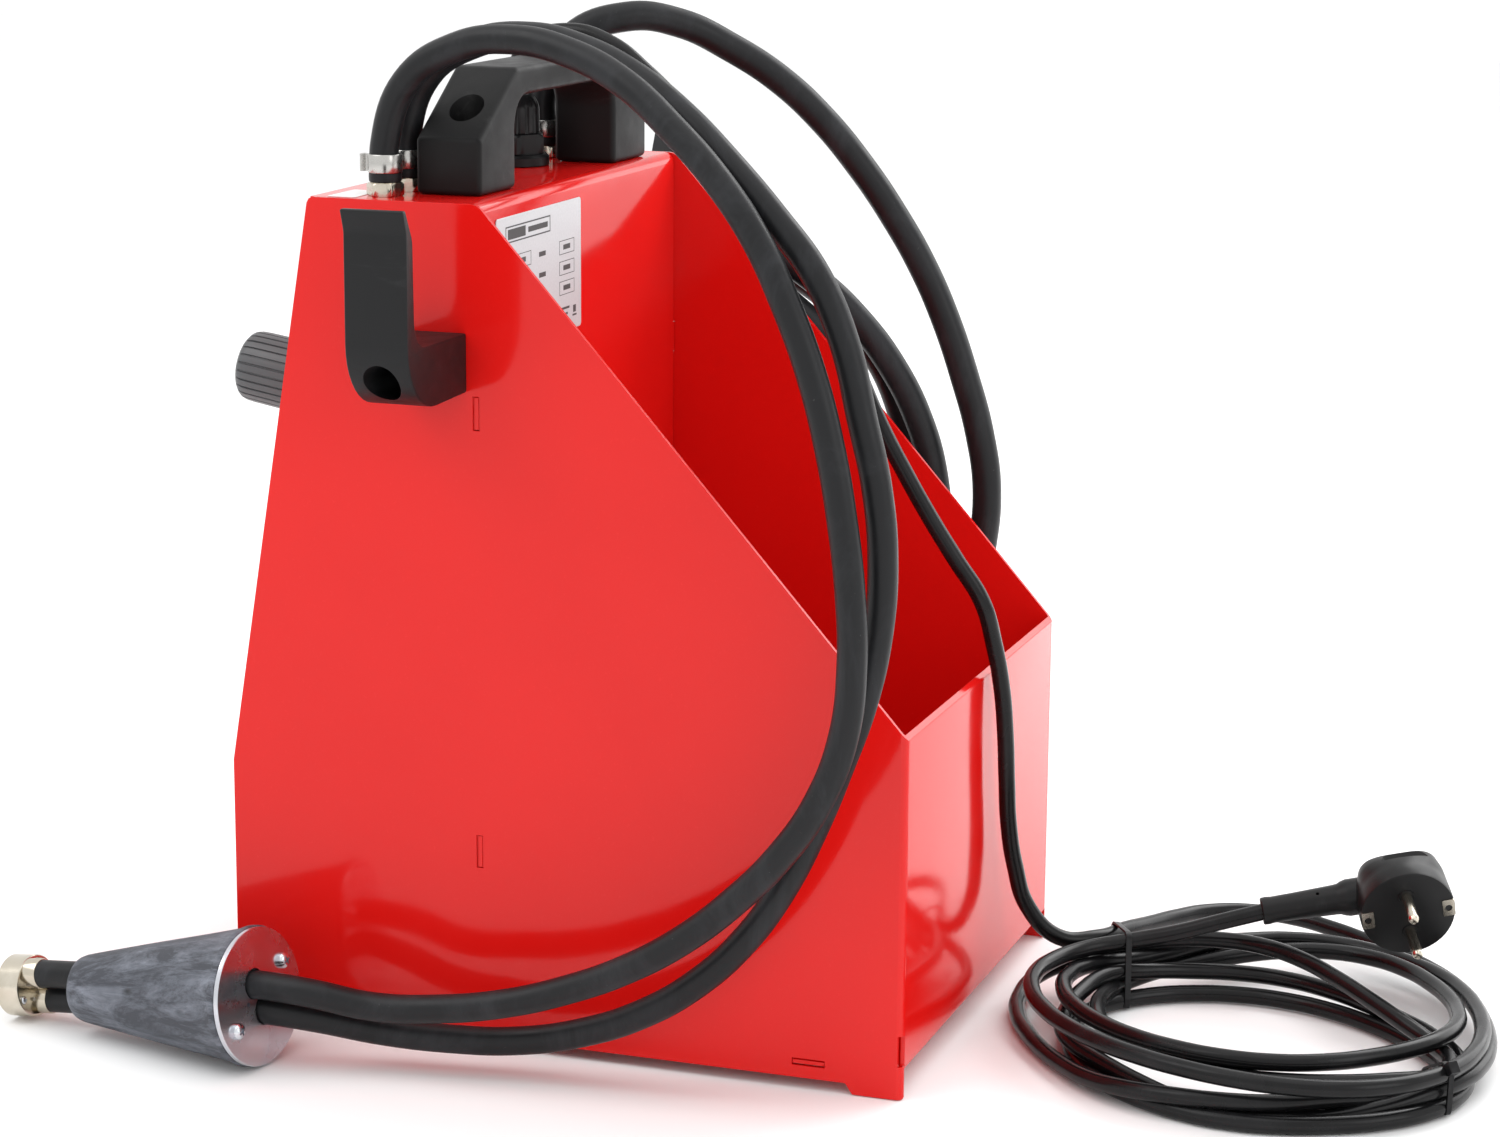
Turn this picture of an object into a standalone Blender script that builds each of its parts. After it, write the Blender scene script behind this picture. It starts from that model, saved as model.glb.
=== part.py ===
"""Electric fluid service unit: a red sheet-metal stand with a pump tower at the front and a
canister basket at the rear, a carry handle, two hose hooks, a suction cone on two hoses,
a coiled pressure hose and a coiled mains lead.

Axes: +X is the unit's right side, +Y its rear, +Z up. The origin is on the floor, under the
middle of the unit without its free hoses and lead. Metres throughout.
"""

from math import asin, atan2, cos, pi, radians, sin

import bmesh
import bpy
import numpy as np
from mathutils import Matrix, Vector

# ---------------------------------------------------------------- driving dimensions
GAP = 0.0003                 # kept between pieces that touch
SHEET = 0.002                # steel sheet
WIDTH = 0.2386               # over the side walls
HEIGHT = 0.370               # top of the tower
DEPTH = 0.3105               # tower front to basket rear, over the sheet metal
REAR = 0.163                 # y of the basket's rear face
FRONT = REAR - DEPTH         # y of the tower's lower front face
BASKET_HEIGHT = 0.1564       # top edge of the rear wall
KINK = 0.1191                # height where the front starts to lean back
TOP_FRONT = REAR - 0.2694    # y of the tower's top front edge
TOWER_BACK = REAR - 0.1914   # y of the face between tower and basket
FOOT_RISE = 0.0047           # clearance under the side walls between the feet
REAR_FOOT = 0.0222           # length of each rear foot
WALL_BOTTOM = 0.0146         # bottom edge of the rear wall
RELIEF_WIDTH = 0.0029        # bend relief slot beside each rear corner
RELIEF_TOP = 0.0280
FLOOR_LEVEL = 0.0107         # underside of the base plate in the basket
TOWER_FLOOR = 0.0097         # its underside in the tower, one joggle lower
TAB_LENGTH = 0.014
TAB_HEIGHTS = (0.0891, 0.2815)
BASE_TAB_Y = REAR - 0.0418

HALF = WIDTH / 2
INSIDE = HALF - SHEET - GAP  # half width of what stands between the side walls
LEAN = atan2(TOP_FRONT - FRONT, HEIGHT - KINK)

FITTING_Y = REAR - 0.2405    # the row of hose fittings on the tower's top
SUCTION_X = 0.103
RETURN_X = 0.081
GLAND_X = -0.036
BLEEDER_X = -0.073
FITTING_HOLE = 0.005
GLAND_HOLE = 0.0104

HANDLE_Y = (REAR - 0.2282, REAR - 0.2000)
HANDLE_SCREW_X = 0.0765
HOOK_Y = (REAR - 0.2245, REAR - 0.1965)
HOOK_FLOOR = 0.3157          # cradle floor
HOOK_UNDER = 0.2890
HOOK_TOP = 0.3735
HOOK_INNER = 0.1710          # inner face of the upright arm
HOOK_OUTER = 0.1790

KNOB_X = 0.075
KNOB_RISE = 0.1656           # along the leaning panel from the kink
KNOB_REACH = 0.0413
GAUGE_X = -0.030
GAUGE_RISE = 0.170
GAUGE_R = 0.0298
SWITCH_X = 0.075
SWITCH_RISE = 0.080
SWITCH_REST = radians(-9)
FUSE_X = -0.065
FUSE_RISE = 0.055

MOTOR_Y = -0.088
MOTOR_Z = 0.078
MOTOR_R = 0.034
PUMP_R = 0.026
PIPE_R = 0.0035

HOSE_R = 0.00625             # suction and return hoses
BLEEDER_R = 0.0070           # pressure hose
MAINS_R = 0.0037             # mains lead

CONE_DISC = (0.1725, REAR - 0.2730, 0.0307)   # centre of the disc's outer face
CONE_YAW = radians(8.73)
DISC_R = 0.0300
CONE_R = 0.0305
CONE_TIP_R = 0.0145
CONE_LENGTH = 0.095
HEAD_R = 0.0138
HEAD_FROM = 0.1225           # suction head, measured along the cone from the disc
HEAD_TO = 0.1345
HOSE_SPREAD = 0.0069         # each hose's offset from the cone's axis

COIL_X = -0.1203             # inner side of the pressure hose's coil
COIL_WIDTH = 0.0437
COIL_Y = REAR - 0.2105
COIL_Z = 0.1860
COIL_SIZE = (0.150, 0.165)   # outer half width and half height
COIL_BAND = (0.0330, 0.0330)

LEAD_COIL = (-0.037, REAR + 0.1165)
LEAD_COIL_TURN = radians(15.2)
LEAD_COIL_SIZE = (0.137, 0.105)
LEAD_COIL_BAND = (0.037, 0.035)
LEAD_COIL_HEIGHT = 0.033

PLUG_FACE = (-0.056, REAR + 0.1825, 0.0537)
PLUG_PINS = Vector((0.8996, 0.3382, -0.2763)).normalized()
PLUG_LEAD = Vector((0.2388, -0.9106, -0.3372)).normalized()
PLUG_R = 0.0193
PLUG_DEPTH = 0.027
PLUG_LEAD_DEPTH = 0.016
RELIEF_END = 0.063           # strain relief's end, from the middle of the plug

# ---------------------------------------------------------------- routes, chosen by hand
# The first stretch of every route, between its first two points, is straight.
# The suction and return hoses rise from the tower's top, arch over its rear corner, hang
# outside the right side wall and come back along the floor to the cone.
SUCTION_ROUTE = [
    (0.1030, -0.0775, 0.3778), (0.1030, -0.0775, 0.3920), (0.1032, -0.0757, 0.4080),
    (0.1050, -0.0650, 0.4260), (0.1080, -0.0450, 0.4370), (0.1130, -0.0200, 0.4390),
    (0.1200, 0.0100, 0.4365), (0.1280, 0.0392, 0.4248), (0.1370, 0.0680, 0.4018),
    (0.1450, 0.0970, 0.3740), (0.1510, 0.1200, 0.3420), (0.1560, 0.1370, 0.3080),
    (0.1590, 0.1465, 0.2726), (0.1610, 0.1520, 0.2365), (0.1620, 0.1512, 0.2035),
    (0.1620, 0.1455, 0.1700), (0.1620, 0.1300, 0.1310), (0.1620, 0.1045, 0.0990),
    (0.1620, 0.0695, 0.0715), (0.1620, 0.0240, 0.0490), (0.1640, -0.0115, 0.0395),
    (0.1670, -0.0470, 0.0350), (0.1705, -0.0785, 0.0345),
]
RETURN_ROUTE = [
    (0.0810, -0.0775, 0.3778), (0.0810, -0.0775, 0.3920), (0.0813, -0.0752, 0.4100),
    (0.0835, -0.0620, 0.4290), (0.0900, -0.0300, 0.4415), (0.1000, 0.0020, 0.4405),
    (0.1120, 0.0330, 0.4300), (0.1240, 0.0680, 0.4075), (0.1330, 0.1010, 0.3775),
    (0.1390, 0.1290, 0.3375), (0.1425, 0.1475, 0.2975), (0.1440, 0.1570, 0.2585),
    (0.1440, 0.1580, 0.2255), (0.1440, 0.1530, 0.1875), (0.1430, 0.1405, 0.1440),
    (0.1430, 0.1195, 0.1080), (0.1430, 0.0895, 0.0745), (0.1440, 0.0540, 0.0440),
    (0.1460, 0.0185, 0.0255), (0.1500, -0.0170, 0.0180), (0.1560, -0.0520, 0.0175),
    (0.1620, -0.0825, 0.0200),
]
# The pressure hose arches over the left side and hangs outside it, down to its coil.
BLEEDER_ROUTE = [
    (-0.0730, -0.0775, 0.3778), (-0.0730, -0.0775, 0.4020), (-0.0745, -0.0755, 0.4130),
    (-0.0785, -0.0680, 0.4235), (-0.0840, -0.0570, 0.4305), (-0.0910, -0.0470, 0.4345),
    (-0.0990, -0.0390, 0.4352), (-0.1080, -0.0290, 0.4336), (-0.1190, -0.0150, 0.4268),
    (-0.1310, 0.0105, 0.4113), (-0.1390, 0.0380, 0.3871), (-0.1430, 0.0670, 0.3513),
    (-0.1430, 0.0930, 0.3095), (-0.1420, 0.1110, 0.2650), (-0.1410, 0.1212, 0.2270),
    (-0.1400, 0.1245, 0.1884), (-0.1390, 0.1220, 0.1600),
]
# The mains lead leaves its gland, falls across the basket and hangs outside the rear wall.
MAINS_ROUTE = [
    (-0.0360, -0.0775, 0.3720), (-0.0360, -0.0775, 0.4060), (-0.0358, -0.0755, 0.4160),
    (-0.0353, -0.0685, 0.4280), (-0.0345, -0.0560, 0.4365), (-0.0330, -0.0400, 0.4385),
    (-0.0300, -0.0125, 0.4335), (-0.0250, 0.0183, 0.4215), (-0.0180, 0.0490, 0.3962),
    (-0.0080, 0.0815, 0.3413), (0.0020, 0.1115, 0.2715), (0.0100, 0.1390, 0.2320),
    (0.0160, 0.1570, 0.2080), (0.0190, 0.1695, 0.1830), (0.0170, 0.1755, 0.1510),
    (0.0040, 0.1755, 0.1100), (-0.0080, 0.1760, 0.0720), (-0.0180, 0.1770, 0.0500),
    (-0.0290, 0.1790, 0.0372),
]
# The lines inside the tower.
SUCTION_PIPE = [
    (0.0100, -0.0880, 0.1048), (0.0100, -0.0880, 0.1150), (0.0400, -0.0800, 0.1500),
    (0.0850, -0.0770, 0.2000), (0.1030, -0.0775, 0.2500), (0.1030, -0.0775, 0.3515),
]
PRESSURE_PIPE = [
    (0.0100, -0.0612, 0.0780), (0.0100, -0.0550, 0.0780), (0.0130, -0.0480, 0.0850),
    (0.0400, -0.0450, 0.1500), (0.0700, -0.0470, 0.2300), (0.0750, -0.0560, 0.2710),
    (0.0750, -0.0709, 0.2743),
]
RETURN_PIPE = [
    (0.0750, -0.0780, 0.2957), (0.0750, -0.0780, 0.3050), (0.0790, -0.0777, 0.3250),
    (0.0810, -0.0775, 0.3515),
]
BLEEDER_PIPE = [
    (0.0548, -0.0812, 0.2760), (0.0480, -0.0812, 0.2760), (0.0200, -0.0600, 0.2850),
    (-0.0400, -0.0550, 0.3020), (-0.0690, -0.0700, 0.3230), (-0.0730, -0.0775, 0.3440),
    (-0.0730, -0.0775, 0.3515),
]


# ---------------------------------------------------------------- materials
MATERIALS = {
    "red_paint": ((0.80, 0.035, 0.03), 0.18, 0.0),
    "black_plastic": ((0.022, 0.022, 0.024), 0.45, 0.0),
    "grey_plastic": ((0.14, 0.14, 0.145), 0.5, 0.0),
    "rubber": ((0.018, 0.018, 0.020), 0.55, 0.0),
    "cone_rubber": ((0.07, 0.08, 0.10), 0.75, 0.0),
    "cable_pvc": ((0.012, 0.012, 0.013), 0.25, 0.0),
    "zinc_steel": ((0.62, 0.63, 0.66), 0.3, 1.0),
    "stainless": ((0.70, 0.70, 0.69), 0.25, 1.0),
    "nickel": ((0.72, 0.68, 0.60), 0.22, 1.0),
    "brass": ((0.72, 0.53, 0.25), 0.3, 1.0),
    "aluminium": ((0.66, 0.67, 0.68), 0.4, 1.0),
    "copper_winding": ((0.55, 0.25, 0.12), 0.4, 1.0),
    "label_silver": ((0.62, 0.63, 0.65), 0.45, 0.0),
    "dial_white": ((0.85, 0.85, 0.83), 0.5, 0.0),
    "needle_black": ((0.02, 0.02, 0.02), 0.5, 0.0),
    "clear_lens": ((0.85, 0.88, 0.90), 0.05, 0.0),
    "pipe_nylon": ((0.75, 0.74, 0.68), 0.4, 0.0),
}


def material(name):
    """The named Principled material, made on first use."""
    found = bpy.data.materials.get(name)
    if found:
        return found
    colour, roughness, metallic = MATERIALS[name]
    made = bpy.data.materials.new(name)
    made.use_nodes = True
    shader = made.node_tree.nodes["Principled BSDF"]
    shader.inputs["Base Color"].default_value = (*colour, 1.0)
    shader.inputs["Roughness"].default_value = roughness
    shader.inputs["Metallic"].default_value = metallic
    made.diffuse_color = (*colour, 1.0)
    return made


# ---------------------------------------------------------------- placing
def frame_at(origin, z_axis, x_axis=(1, 0, 0)):
    """A placement with its local Z along z_axis and its local X as near x_axis as it can be."""
    z = Vector(z_axis).normalized()
    x = Vector(x_axis)
    x = (x - x.dot(z) * z).normalized()
    y = z.cross(x)
    rotation = Matrix((x, y, z)).transposed().to_4x4()
    return Matrix.Translation(Vector(origin)) @ rotation


PANEL_OUT = Vector((0, -cos(LEAN), sin(LEAN)))
PANEL_UP = Vector((0, sin(LEAN), cos(LEAN)))


def on_panel(x, rise):
    """A placement on the leaning panel's outer face: local X right, local Y up, local Z out."""
    origin = Vector((x, FRONT, KINK)) + rise * PANEL_UP
    return frame_at(origin, PANEL_OUT, (1, 0, 0))


SIDE_VIEW = frame_at((0, 0, 0), (1, 0, 0), (0, 1, 0))      # local X, Y are world Y, Z
FRONT_VIEW = frame_at((0, 0, 0), (0, -1, 0), (1, 0, 0))    # local X, Y are world X, Z
PLAN_VIEW = Matrix.Identity(4)
MOTOR_AXIS = frame_at((0, MOTOR_Y, MOTOR_Z), (1, 0, 0), (0, 1, 0))


# ---------------------------------------------------------------- shapes
def keep(name, bm, place, finish, smooth=True):
    """Turns a bmesh into the named object at its placement, faces out."""
    bmesh.ops.recalc_face_normals(bm, faces=bm.faces)
    mesh = bpy.data.meshes.new(name)
    bm.to_mesh(mesh)
    bm.free()
    if smooth:
        mesh.shade_smooth()
        mesh.set_sharp_from_angle(angle=radians(35))
    made = bpy.data.objects.new(name, mesh)
    bpy.context.scene.collection.objects.link(made)
    made.matrix_world = place
    if finish:
        mesh.materials.append(material(finish))
    return made


def turned(name, profile, place, finish, steps=20, ring=False):
    """A turned piece from (radius, height) points; a ring's profile is closed on itself."""
    bm = bmesh.new()
    rows = []
    for radius, height in profile:
        angles = [0] if radius == 0 else [2 * pi * i / steps for i in range(steps)]
        rows.append([bm.verts.new((radius * cos(a), radius * sin(a), height)) for a in angles])
    following = rows[1:] + (rows[:1] if ring else [])
    for low, high in zip(rows, following):
        for i in range(steps):
            j = i + 1
            corners = [low[i % len(low)], low[j % len(low)], high[j % len(high)], high[i % len(high)]]
            bm.faces.new(list(dict.fromkeys(corners)))
    return keep(name, bm, place, finish)


def prism(name, outline, low, high, place, finish, smooth=True):
    """An outline in local X, Y, extruded along local Z from low to high."""
    bm = bmesh.new()
    bottom = [bm.verts.new((x, y, low)) for x, y in outline]
    top = [bm.verts.new((x, y, high)) for x, y in outline]
    bm.faces.new(bottom)
    bm.faces.new(top)
    for i in range(len(outline)):
        j = (i + 1) % len(outline)
        bm.faces.new([bottom[i], bottom[j], top[j], top[i]])
    return keep(name, bm, place, finish, smooth)


def block(name, low, high, finish, place=PLAN_VIEW):
    """A plain box between two corners."""
    outline = [(low[0], low[1]), (high[0], low[1]), (high[0], high[1]), (low[0], high[1])]
    return prism(name, outline, low[2], high[2], place, finish, smooth=False)


def rounded(corners, steps=4):
    """An outline whose corners, given as (x, y, radius), are turned into arcs."""
    outline = []
    count = len(corners)
    for i, (x, y, radius) in enumerate(corners):
        here = Vector((x, y))
        if radius == 0:
            outline.append((x, y))
            continue
        before = (Vector(corners[i - 1][:2]) - here).normalized()
        after = (Vector(corners[(i + 1) % count][:2]) - here).normalized()
        half = before.angle(after) / 2
        reach = radius / np.tan(half)
        centre = here + (before + after).normalized() * radius / sin(half)
        start = here + before * reach - centre
        end = here + after * reach - centre
        sweep = start.angle_signed(end)
        for k in range(steps + 1):
            turn = Matrix.Rotation(-sweep * k / steps, 2)
            point = centre + turn @ start
            outline.append((point.x, point.y))
    return outline


def sheet_outline(path, side, bend):
    """The cross-section of bent sheet: path is the outer face, side is 1 or -1 for its inner side."""
    points = [Vector(p) for p in path]
    inner = []
    for i, here in enumerate(points):
        normals = []
        for a, b in ((i - 1, i), (i, i + 1)):
            if a >= 0 and b < len(points):
                run = (points[b] - points[a]).normalized()
                normals.append(Vector((-run.y, run.x)) * side)
        mean = sum(normals, Vector((0, 0))).normalized()
        inner.append(here + mean * SHEET / mean.dot(normals[0]))
    last = len(points) - 1
    outer_corners = [(*p, 0 if i in (0, last) else bend) for i, p in enumerate(points)]
    inner_corners = [(*p, 0 if i in (0, last) else bend - SHEET) for i, p in enumerate(inner)]
    return rounded(outer_corners + inner_corners[::-1])


def ellipse(centre, size, turn=0.0, steps=40):
    """Points of an ellipse of the given half sizes, turned about its centre."""
    outline = []
    for i in range(steps):
        a = 2 * pi * i / steps
        x, y = size[0] * cos(a), size[1] * sin(a)
        across = centre[0] + x * cos(turn) - y * sin(turn)
        along = centre[1] + x * sin(turn) + y * cos(turn)
        outline.append((across, along))
    return outline


def oval_ring(name, centre, size, band, low, high, place, finish, turn=0.0):
    """A flat oval ring: the outer shape of a coil."""
    bm = bmesh.new()
    inner_size = (size[0] - band[0], size[1] - band[1])
    rows = []
    for half_sizes, height in ((size, low), (size, high), (inner_size, high), (inner_size, low)):
        rows.append([bm.verts.new((*p, height)) for p in ellipse(centre, half_sizes, turn)])
    for row, following in zip(rows, rows[1:] + rows[:1]):
        for i in range(len(row)):
            j = (i + 1) % len(row)
            bm.faces.new([row[i], row[j], following[j], following[i]])
    return keep(name, bm, place, finish)


def smooth_route(points, spacing):
    """Evenly spaced points on the natural cubic spline through a route's own points."""
    p = np.array(points, float)
    t = np.concatenate([[0], np.cumsum(np.linalg.norm(np.diff(p, axis=0), axis=1))])
    n = len(p)
    h = np.diff(t)
    system = np.eye(n)
    right = np.zeros((n, 3))
    for i in range(1, n - 1):
        system[i, i - 1:i + 2] = (h[i - 1], 2 * (h[i - 1] + h[i]), h[i])
        right[i] = 6 * ((p[i + 1] - p[i]) / h[i] - (p[i] - p[i - 1]) / h[i - 1])
    bend = np.linalg.solve(system, right)
    fine = []
    for i in range(n - 1):
        for u in np.linspace(0, h[i], 40, endpoint=False):
            w = h[i] - u
            curved = (bend[i] * w ** 3 + bend[i + 1] * u ** 3) / (6 * h[i])
            near = (p[i] / h[i] - bend[i] * h[i] / 6) * w
            far = (p[i + 1] / h[i] - bend[i + 1] * h[i] / 6) * u
            fine.append(curved + near + far)
    fine = np.array(fine + [p[-1]])
    along = np.concatenate([[0], np.cumsum(np.linalg.norm(np.diff(fine, axis=0), axis=1))])
    stops = np.linspace(0, along[-1], max(2, round(along[-1] / spacing) + 1))
    return [tuple(np.interp(s, along, fine[:, k]) for k in range(3)) for s in stops]


def tube(name, route, radius, finish):
    """A round tube with closed ends: a straight first stretch, then a smooth route."""
    points = [route[0]] + smooth_route(route[1:], 5 * radius)
    curve = bpy.data.curves.new(name, "CURVE")
    curve.dimensions = "3D"
    curve.bevel_depth = radius
    curve.bevel_resolution = 2
    curve.use_fill_caps = True
    spline = curve.splines.new("POLY")
    spline.points.add(len(points) - 1)
    for vertex, point in zip(spline.points, points):
        vertex.co = (*point, 1.0)
    curve.materials.append(material(finish))
    made = bpy.data.objects.new(name, curve)
    bpy.context.scene.collection.objects.link(made)
    return made


def boolean(target, tool, operation):
    """Cuts a tool out of a target, or joins it to it; the tool itself isn't a piece."""
    modifier = target.modifiers.new(operation.lower(), "BOOLEAN")
    modifier.operation = operation
    modifier.solver = "EXACT"
    modifier.object = tool
    tool.hide_render = True
    tool.display_type = "WIRE"
    return target


def drill(target, radius, place, low, high, steps=12):
    """Drills a round hole along a placement's local Z."""
    name = f"drill_{target.name}_{len(target.modifiers)}"
    profile = [(0, low), (radius, low), (radius, high), (0, high)]
    return boolean(target, turned(name, profile, place, None, steps), "DIFFERENCE")


def carve(target, low, high, place=PLAN_VIEW):
    """Cuts a box out of a target."""
    name = f"carve_{target.name}_{len(target.modifiers)}"
    return boolean(target, block(name, low, high, None, place), "DIFFERENCE")


def round_edges(made, width, segments=2):
    """Rounds a piece's sharp edges."""
    modifier = made.modifiers.new("edges", "BEVEL")
    modifier.width = width
    modifier.segments = segments
    modifier.limit_method = "ANGLE"
    modifier.angle_limit = radians(40)


# ---------------------------------------------------------------- sheet metal
def body_shell():
    """Both side walls and the rear wall, bent from one sheet, with feet, slots and bend reliefs."""
    inner = HALF - SHEET
    plan = rounded([
        (HALF, FRONT, 0), (HALF, REAR, 0.003), (-HALF, REAR, 0.003), (-HALF, FRONT, 0),
        (-inner, FRONT, 0), (-inner, REAR - SHEET, 0.001), (inner, REAR - SHEET, 0.001),
        (inner, FRONT, 0),
    ])
    shell = prism("body_shell", plan, -0.001, HEIGHT + 0.001, PLAN_VIEW, "red_paint")
    side = rounded([
        (FRONT, 0, 0.001), (FRONT + REAR_FOOT, 0, 0.001), (FRONT + REAR_FOOT + 0.003, FOOT_RISE, 0.001),
        (REAR - REAR_FOOT - 0.003, FOOT_RISE, 0.001), (REAR - REAR_FOOT, 0, 0.001), (REAR, 0, 0.001),
        (REAR, BASKET_HEIGHT, 0.002), (TOWER_BACK, HEIGHT, 0.006), (TOP_FRONT, HEIGHT, 0.003),
        (FRONT, KINK, 0.002),
    ], 2)
    boolean(shell, prism("side_profile", side, -0.13, 0.13, SIDE_VIEW, None), "INTERSECT")
    slot = SHEET / 2 + 2 * GAP
    for height in TAB_HEIGHTS:
        middle = TOWER_BACK - SHEET / 2
        reach = TAB_LENGTH / 2 + GAP
        carve(shell, (-0.13, middle - slot, height - reach), (0.13, middle + slot, height + reach))
    level = FLOOR_LEVEL + SHEET / 2
    reach = TAB_LENGTH / 2 + GAP
    carve(shell, (-0.13, BASE_TAB_Y - reach, level - slot), (0.13, BASE_TAB_Y + reach, level + slot))
    relief = HALF - RELIEF_WIDTH
    carve(shell, (-relief, REAR - 0.004, -0.01), (relief, REAR + 0.01, WALL_BOTTOM))
    for sign in (-1, 1):
        low, high = sorted((sign * (relief - 0.0001), sign * 0.13))
        carve(shell, (low, REAR - SHEET - 0.0004, WALL_BOTTOM - 0.0002), (high, REAR + 0.01, RELIEF_TOP))


def tower_shell():
    """The tower's top and back wall, bent from one sheet, with tabs into the side walls."""
    path = [(TOP_FRONT + GAP, HEIGHT), (TOWER_BACK, HEIGHT), (TOWER_BACK, TOWER_FLOOR + SHEET + GAP)]
    bent = sheet_outline(path, -1, 0.0045)
    shell = prism("tower_shell", bent, -INSIDE, INSIDE, SIDE_VIEW, "red_paint")
    for height in TAB_HEIGHTS:
        low = (-(HALF - GAP), TOWER_BACK - SHEET, height - TAB_LENGTH / 2)
        high = (HALF - GAP, TOWER_BACK, height + TAB_LENGTH / 2)
        boolean(shell, block(f"tab_{round(height * 1000)}", low, high, None), "UNION")
    for x in (SUCTION_X, RETURN_X, BLEEDER_X):
        drill(shell, FITTING_HOLE, frame_at((x, FITTING_Y, HEIGHT), (0, 0, 1)), -0.005, 0.005)
    drill(shell, GLAND_HOLE, frame_at((GLAND_X, FITTING_Y, HEIGHT), (0, 0, 1)), -0.005, 0.005)
    handle_middle = sum(HANDLE_Y) / 2
    for sign in (-1, 1):
        place = frame_at((sign * HANDLE_SCREW_X, handle_middle, HEIGHT), (0, 0, 1))
        drill(shell, 0.0034, place, -0.005, 0.005, 12)


def front_panel():
    """The tower's front: upright below, leaning back above, cut out for the controls."""
    top = HEIGHT - SHEET - GAP
    lean_at_top = FRONT + (top - KINK) * (TOP_FRONT - FRONT) / (HEIGHT - KINK)
    path = [(FRONT, FOOT_RISE), (FRONT, KINK), (lean_at_top, top)]
    bent = sheet_outline(path, -1, 0.004)
    panel = prism("front_panel", bent, -INSIDE, INSIDE, SIDE_VIEW, "red_paint")
    drill(panel, 0.0104, on_panel(KNOB_X, KNOB_RISE), -0.006, 0.004, 16)
    drill(panel, GAUGE_R + 0.0006, on_panel(GAUGE_X, GAUGE_RISE), -0.006, 0.004, 28)
    drill(panel, 0.0066, on_panel(FUSE_X, FUSE_RISE), -0.006, 0.004, 12)
    carve(panel, (-0.0105, -0.0140, -0.006), (0.0105, 0.0140, 0.004), on_panel(SWITCH_X, SWITCH_RISE))


def base_plate():
    """The floor of tower and basket, joggled up behind the tower's back, with side tabs."""
    low, high = FRONT + SHEET + GAP, REAR - SHEET - GAP
    joggle = TOWER_BACK + 0.0005
    under = [(low, TOWER_FLOOR), (joggle, TOWER_FLOOR), (joggle + 0.002, FLOOR_LEVEL), (high, FLOOR_LEVEL)]
    over = [(y, z + SHEET) for y, z in reversed(under)]
    plate = prism("base_plate", under + over, -INSIDE, INSIDE, SIDE_VIEW, "red_paint", smooth=False)
    out = HALF - GAP
    tab_low = (-out, BASE_TAB_Y - TAB_LENGTH / 2, FLOOR_LEVEL + 0.0002)
    tab_high = (out, BASE_TAB_Y + TAB_LENGTH / 2, FLOOR_LEVEL + SHEET - 0.0002)
    boolean(plate, block("floor_tabs", tab_low, tab_high, None), "UNION")


def rating_label():
    """A thin foil plate on the tower's back wall, facing the basket."""
    low = (0.004, TOWER_BACK + 0.0002, 0.3036)
    high = (0.100, TOWER_BACK + 0.0006, 0.3615)
    block("rating_label", low, high, "label_silver")


# ---------------------------------------------------------------- handle and hooks
def carry_handle():
    """A moulded bridge handle with a screw well in each sloping end."""
    foot = HEIGHT + GAP
    outline = rounded([
        (0.0940, foot, 0), (0.0940, 0.3940, 0.003), (0.0530, 0.4220, 0.004), (-0.0530, 0.4220, 0.004),
        (-0.0940, 0.3940, 0.003), (-0.0940, foot, 0), (-0.0560, foot, 0), (-0.0560, 0.4095, 0.014),
        (0.0560, 0.4095, 0.014), (0.0560, foot, 0),
    ])
    handle = prism("carry_handle", outline, -HANDLE_Y[1], -HANDLE_Y[0], FRONT_VIEW, "black_plastic")
    round_edges(handle, 0.002, 1)
    middle = sum(HANDLE_Y) / 2
    for side, sign in (("right", 1), ("left", -1)):
        place = frame_at((sign * HANDLE_SCREW_X, middle, HEIGHT), (0, 0, 1))
        drill(handle, 0.0078, place, 0.012, 0.06)
        drill(handle, 0.0034, place, -0.002, 0.02, 12)
        profile = [
            (0, -0.010), (0.003, -0.010), (0.003, 0.0123), (0.0065, 0.0123), (0.0065, 0.0175),
            (0, 0.0185),
        ]
        turned(f"handle_screw_{side}", profile, place, "zinc_steel", 12)


def hose_hook(side, sign):
    """A moulded J-shaped hook on a side wall, with its screw sunk in the lower bend."""
    wall = HALF + GAP
    corners = [
        (wall, HOOK_UNDER, 0.001), (HOOK_OUTER, HOOK_UNDER, 0.020), (HOOK_OUTER, 0.3600, 0.010),
        (0.1842, HOOK_TOP, 0.001), (0.1800, HOOK_TOP, 0.001), (HOOK_INNER, 0.3600, 0.008),
        (HOOK_INNER, HOOK_FLOOR, 0.010), (wall, HOOK_FLOOR, 0.001),
    ]
    outline = [(sign * x, z) for x, z in rounded(corners)]
    hook = prism(f"hose_hook_{side}", outline, -HOOK_Y[1], -HOOK_Y[0], FRONT_VIEW, "black_plastic")
    round_edges(hook, 0.0012, 1)
    place = frame_at((0, sum(HOOK_Y) / 2, 0.3010), (sign, 0, 0), (0, 1, 0))
    drill(hook, 0.0072, place, 0.1300, 0.2000)
    drill(hook, 0.0034, place, 0.1000, 0.1400, 12)
    shell = bpy.data.objects["body_shell"]
    drill(shell, 0.0034, place, 0.1150, 0.1250, 12)
    profile = [
        (0, 0.1100), (0.003, 0.1100), (0.003, 0.1303), (0.0060, 0.1303), (0.0060, 0.1355),
        (0, 0.1365),
    ]
    turned(f"hook_screw_{side}", profile, place, "zinc_steel", 12)


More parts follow.
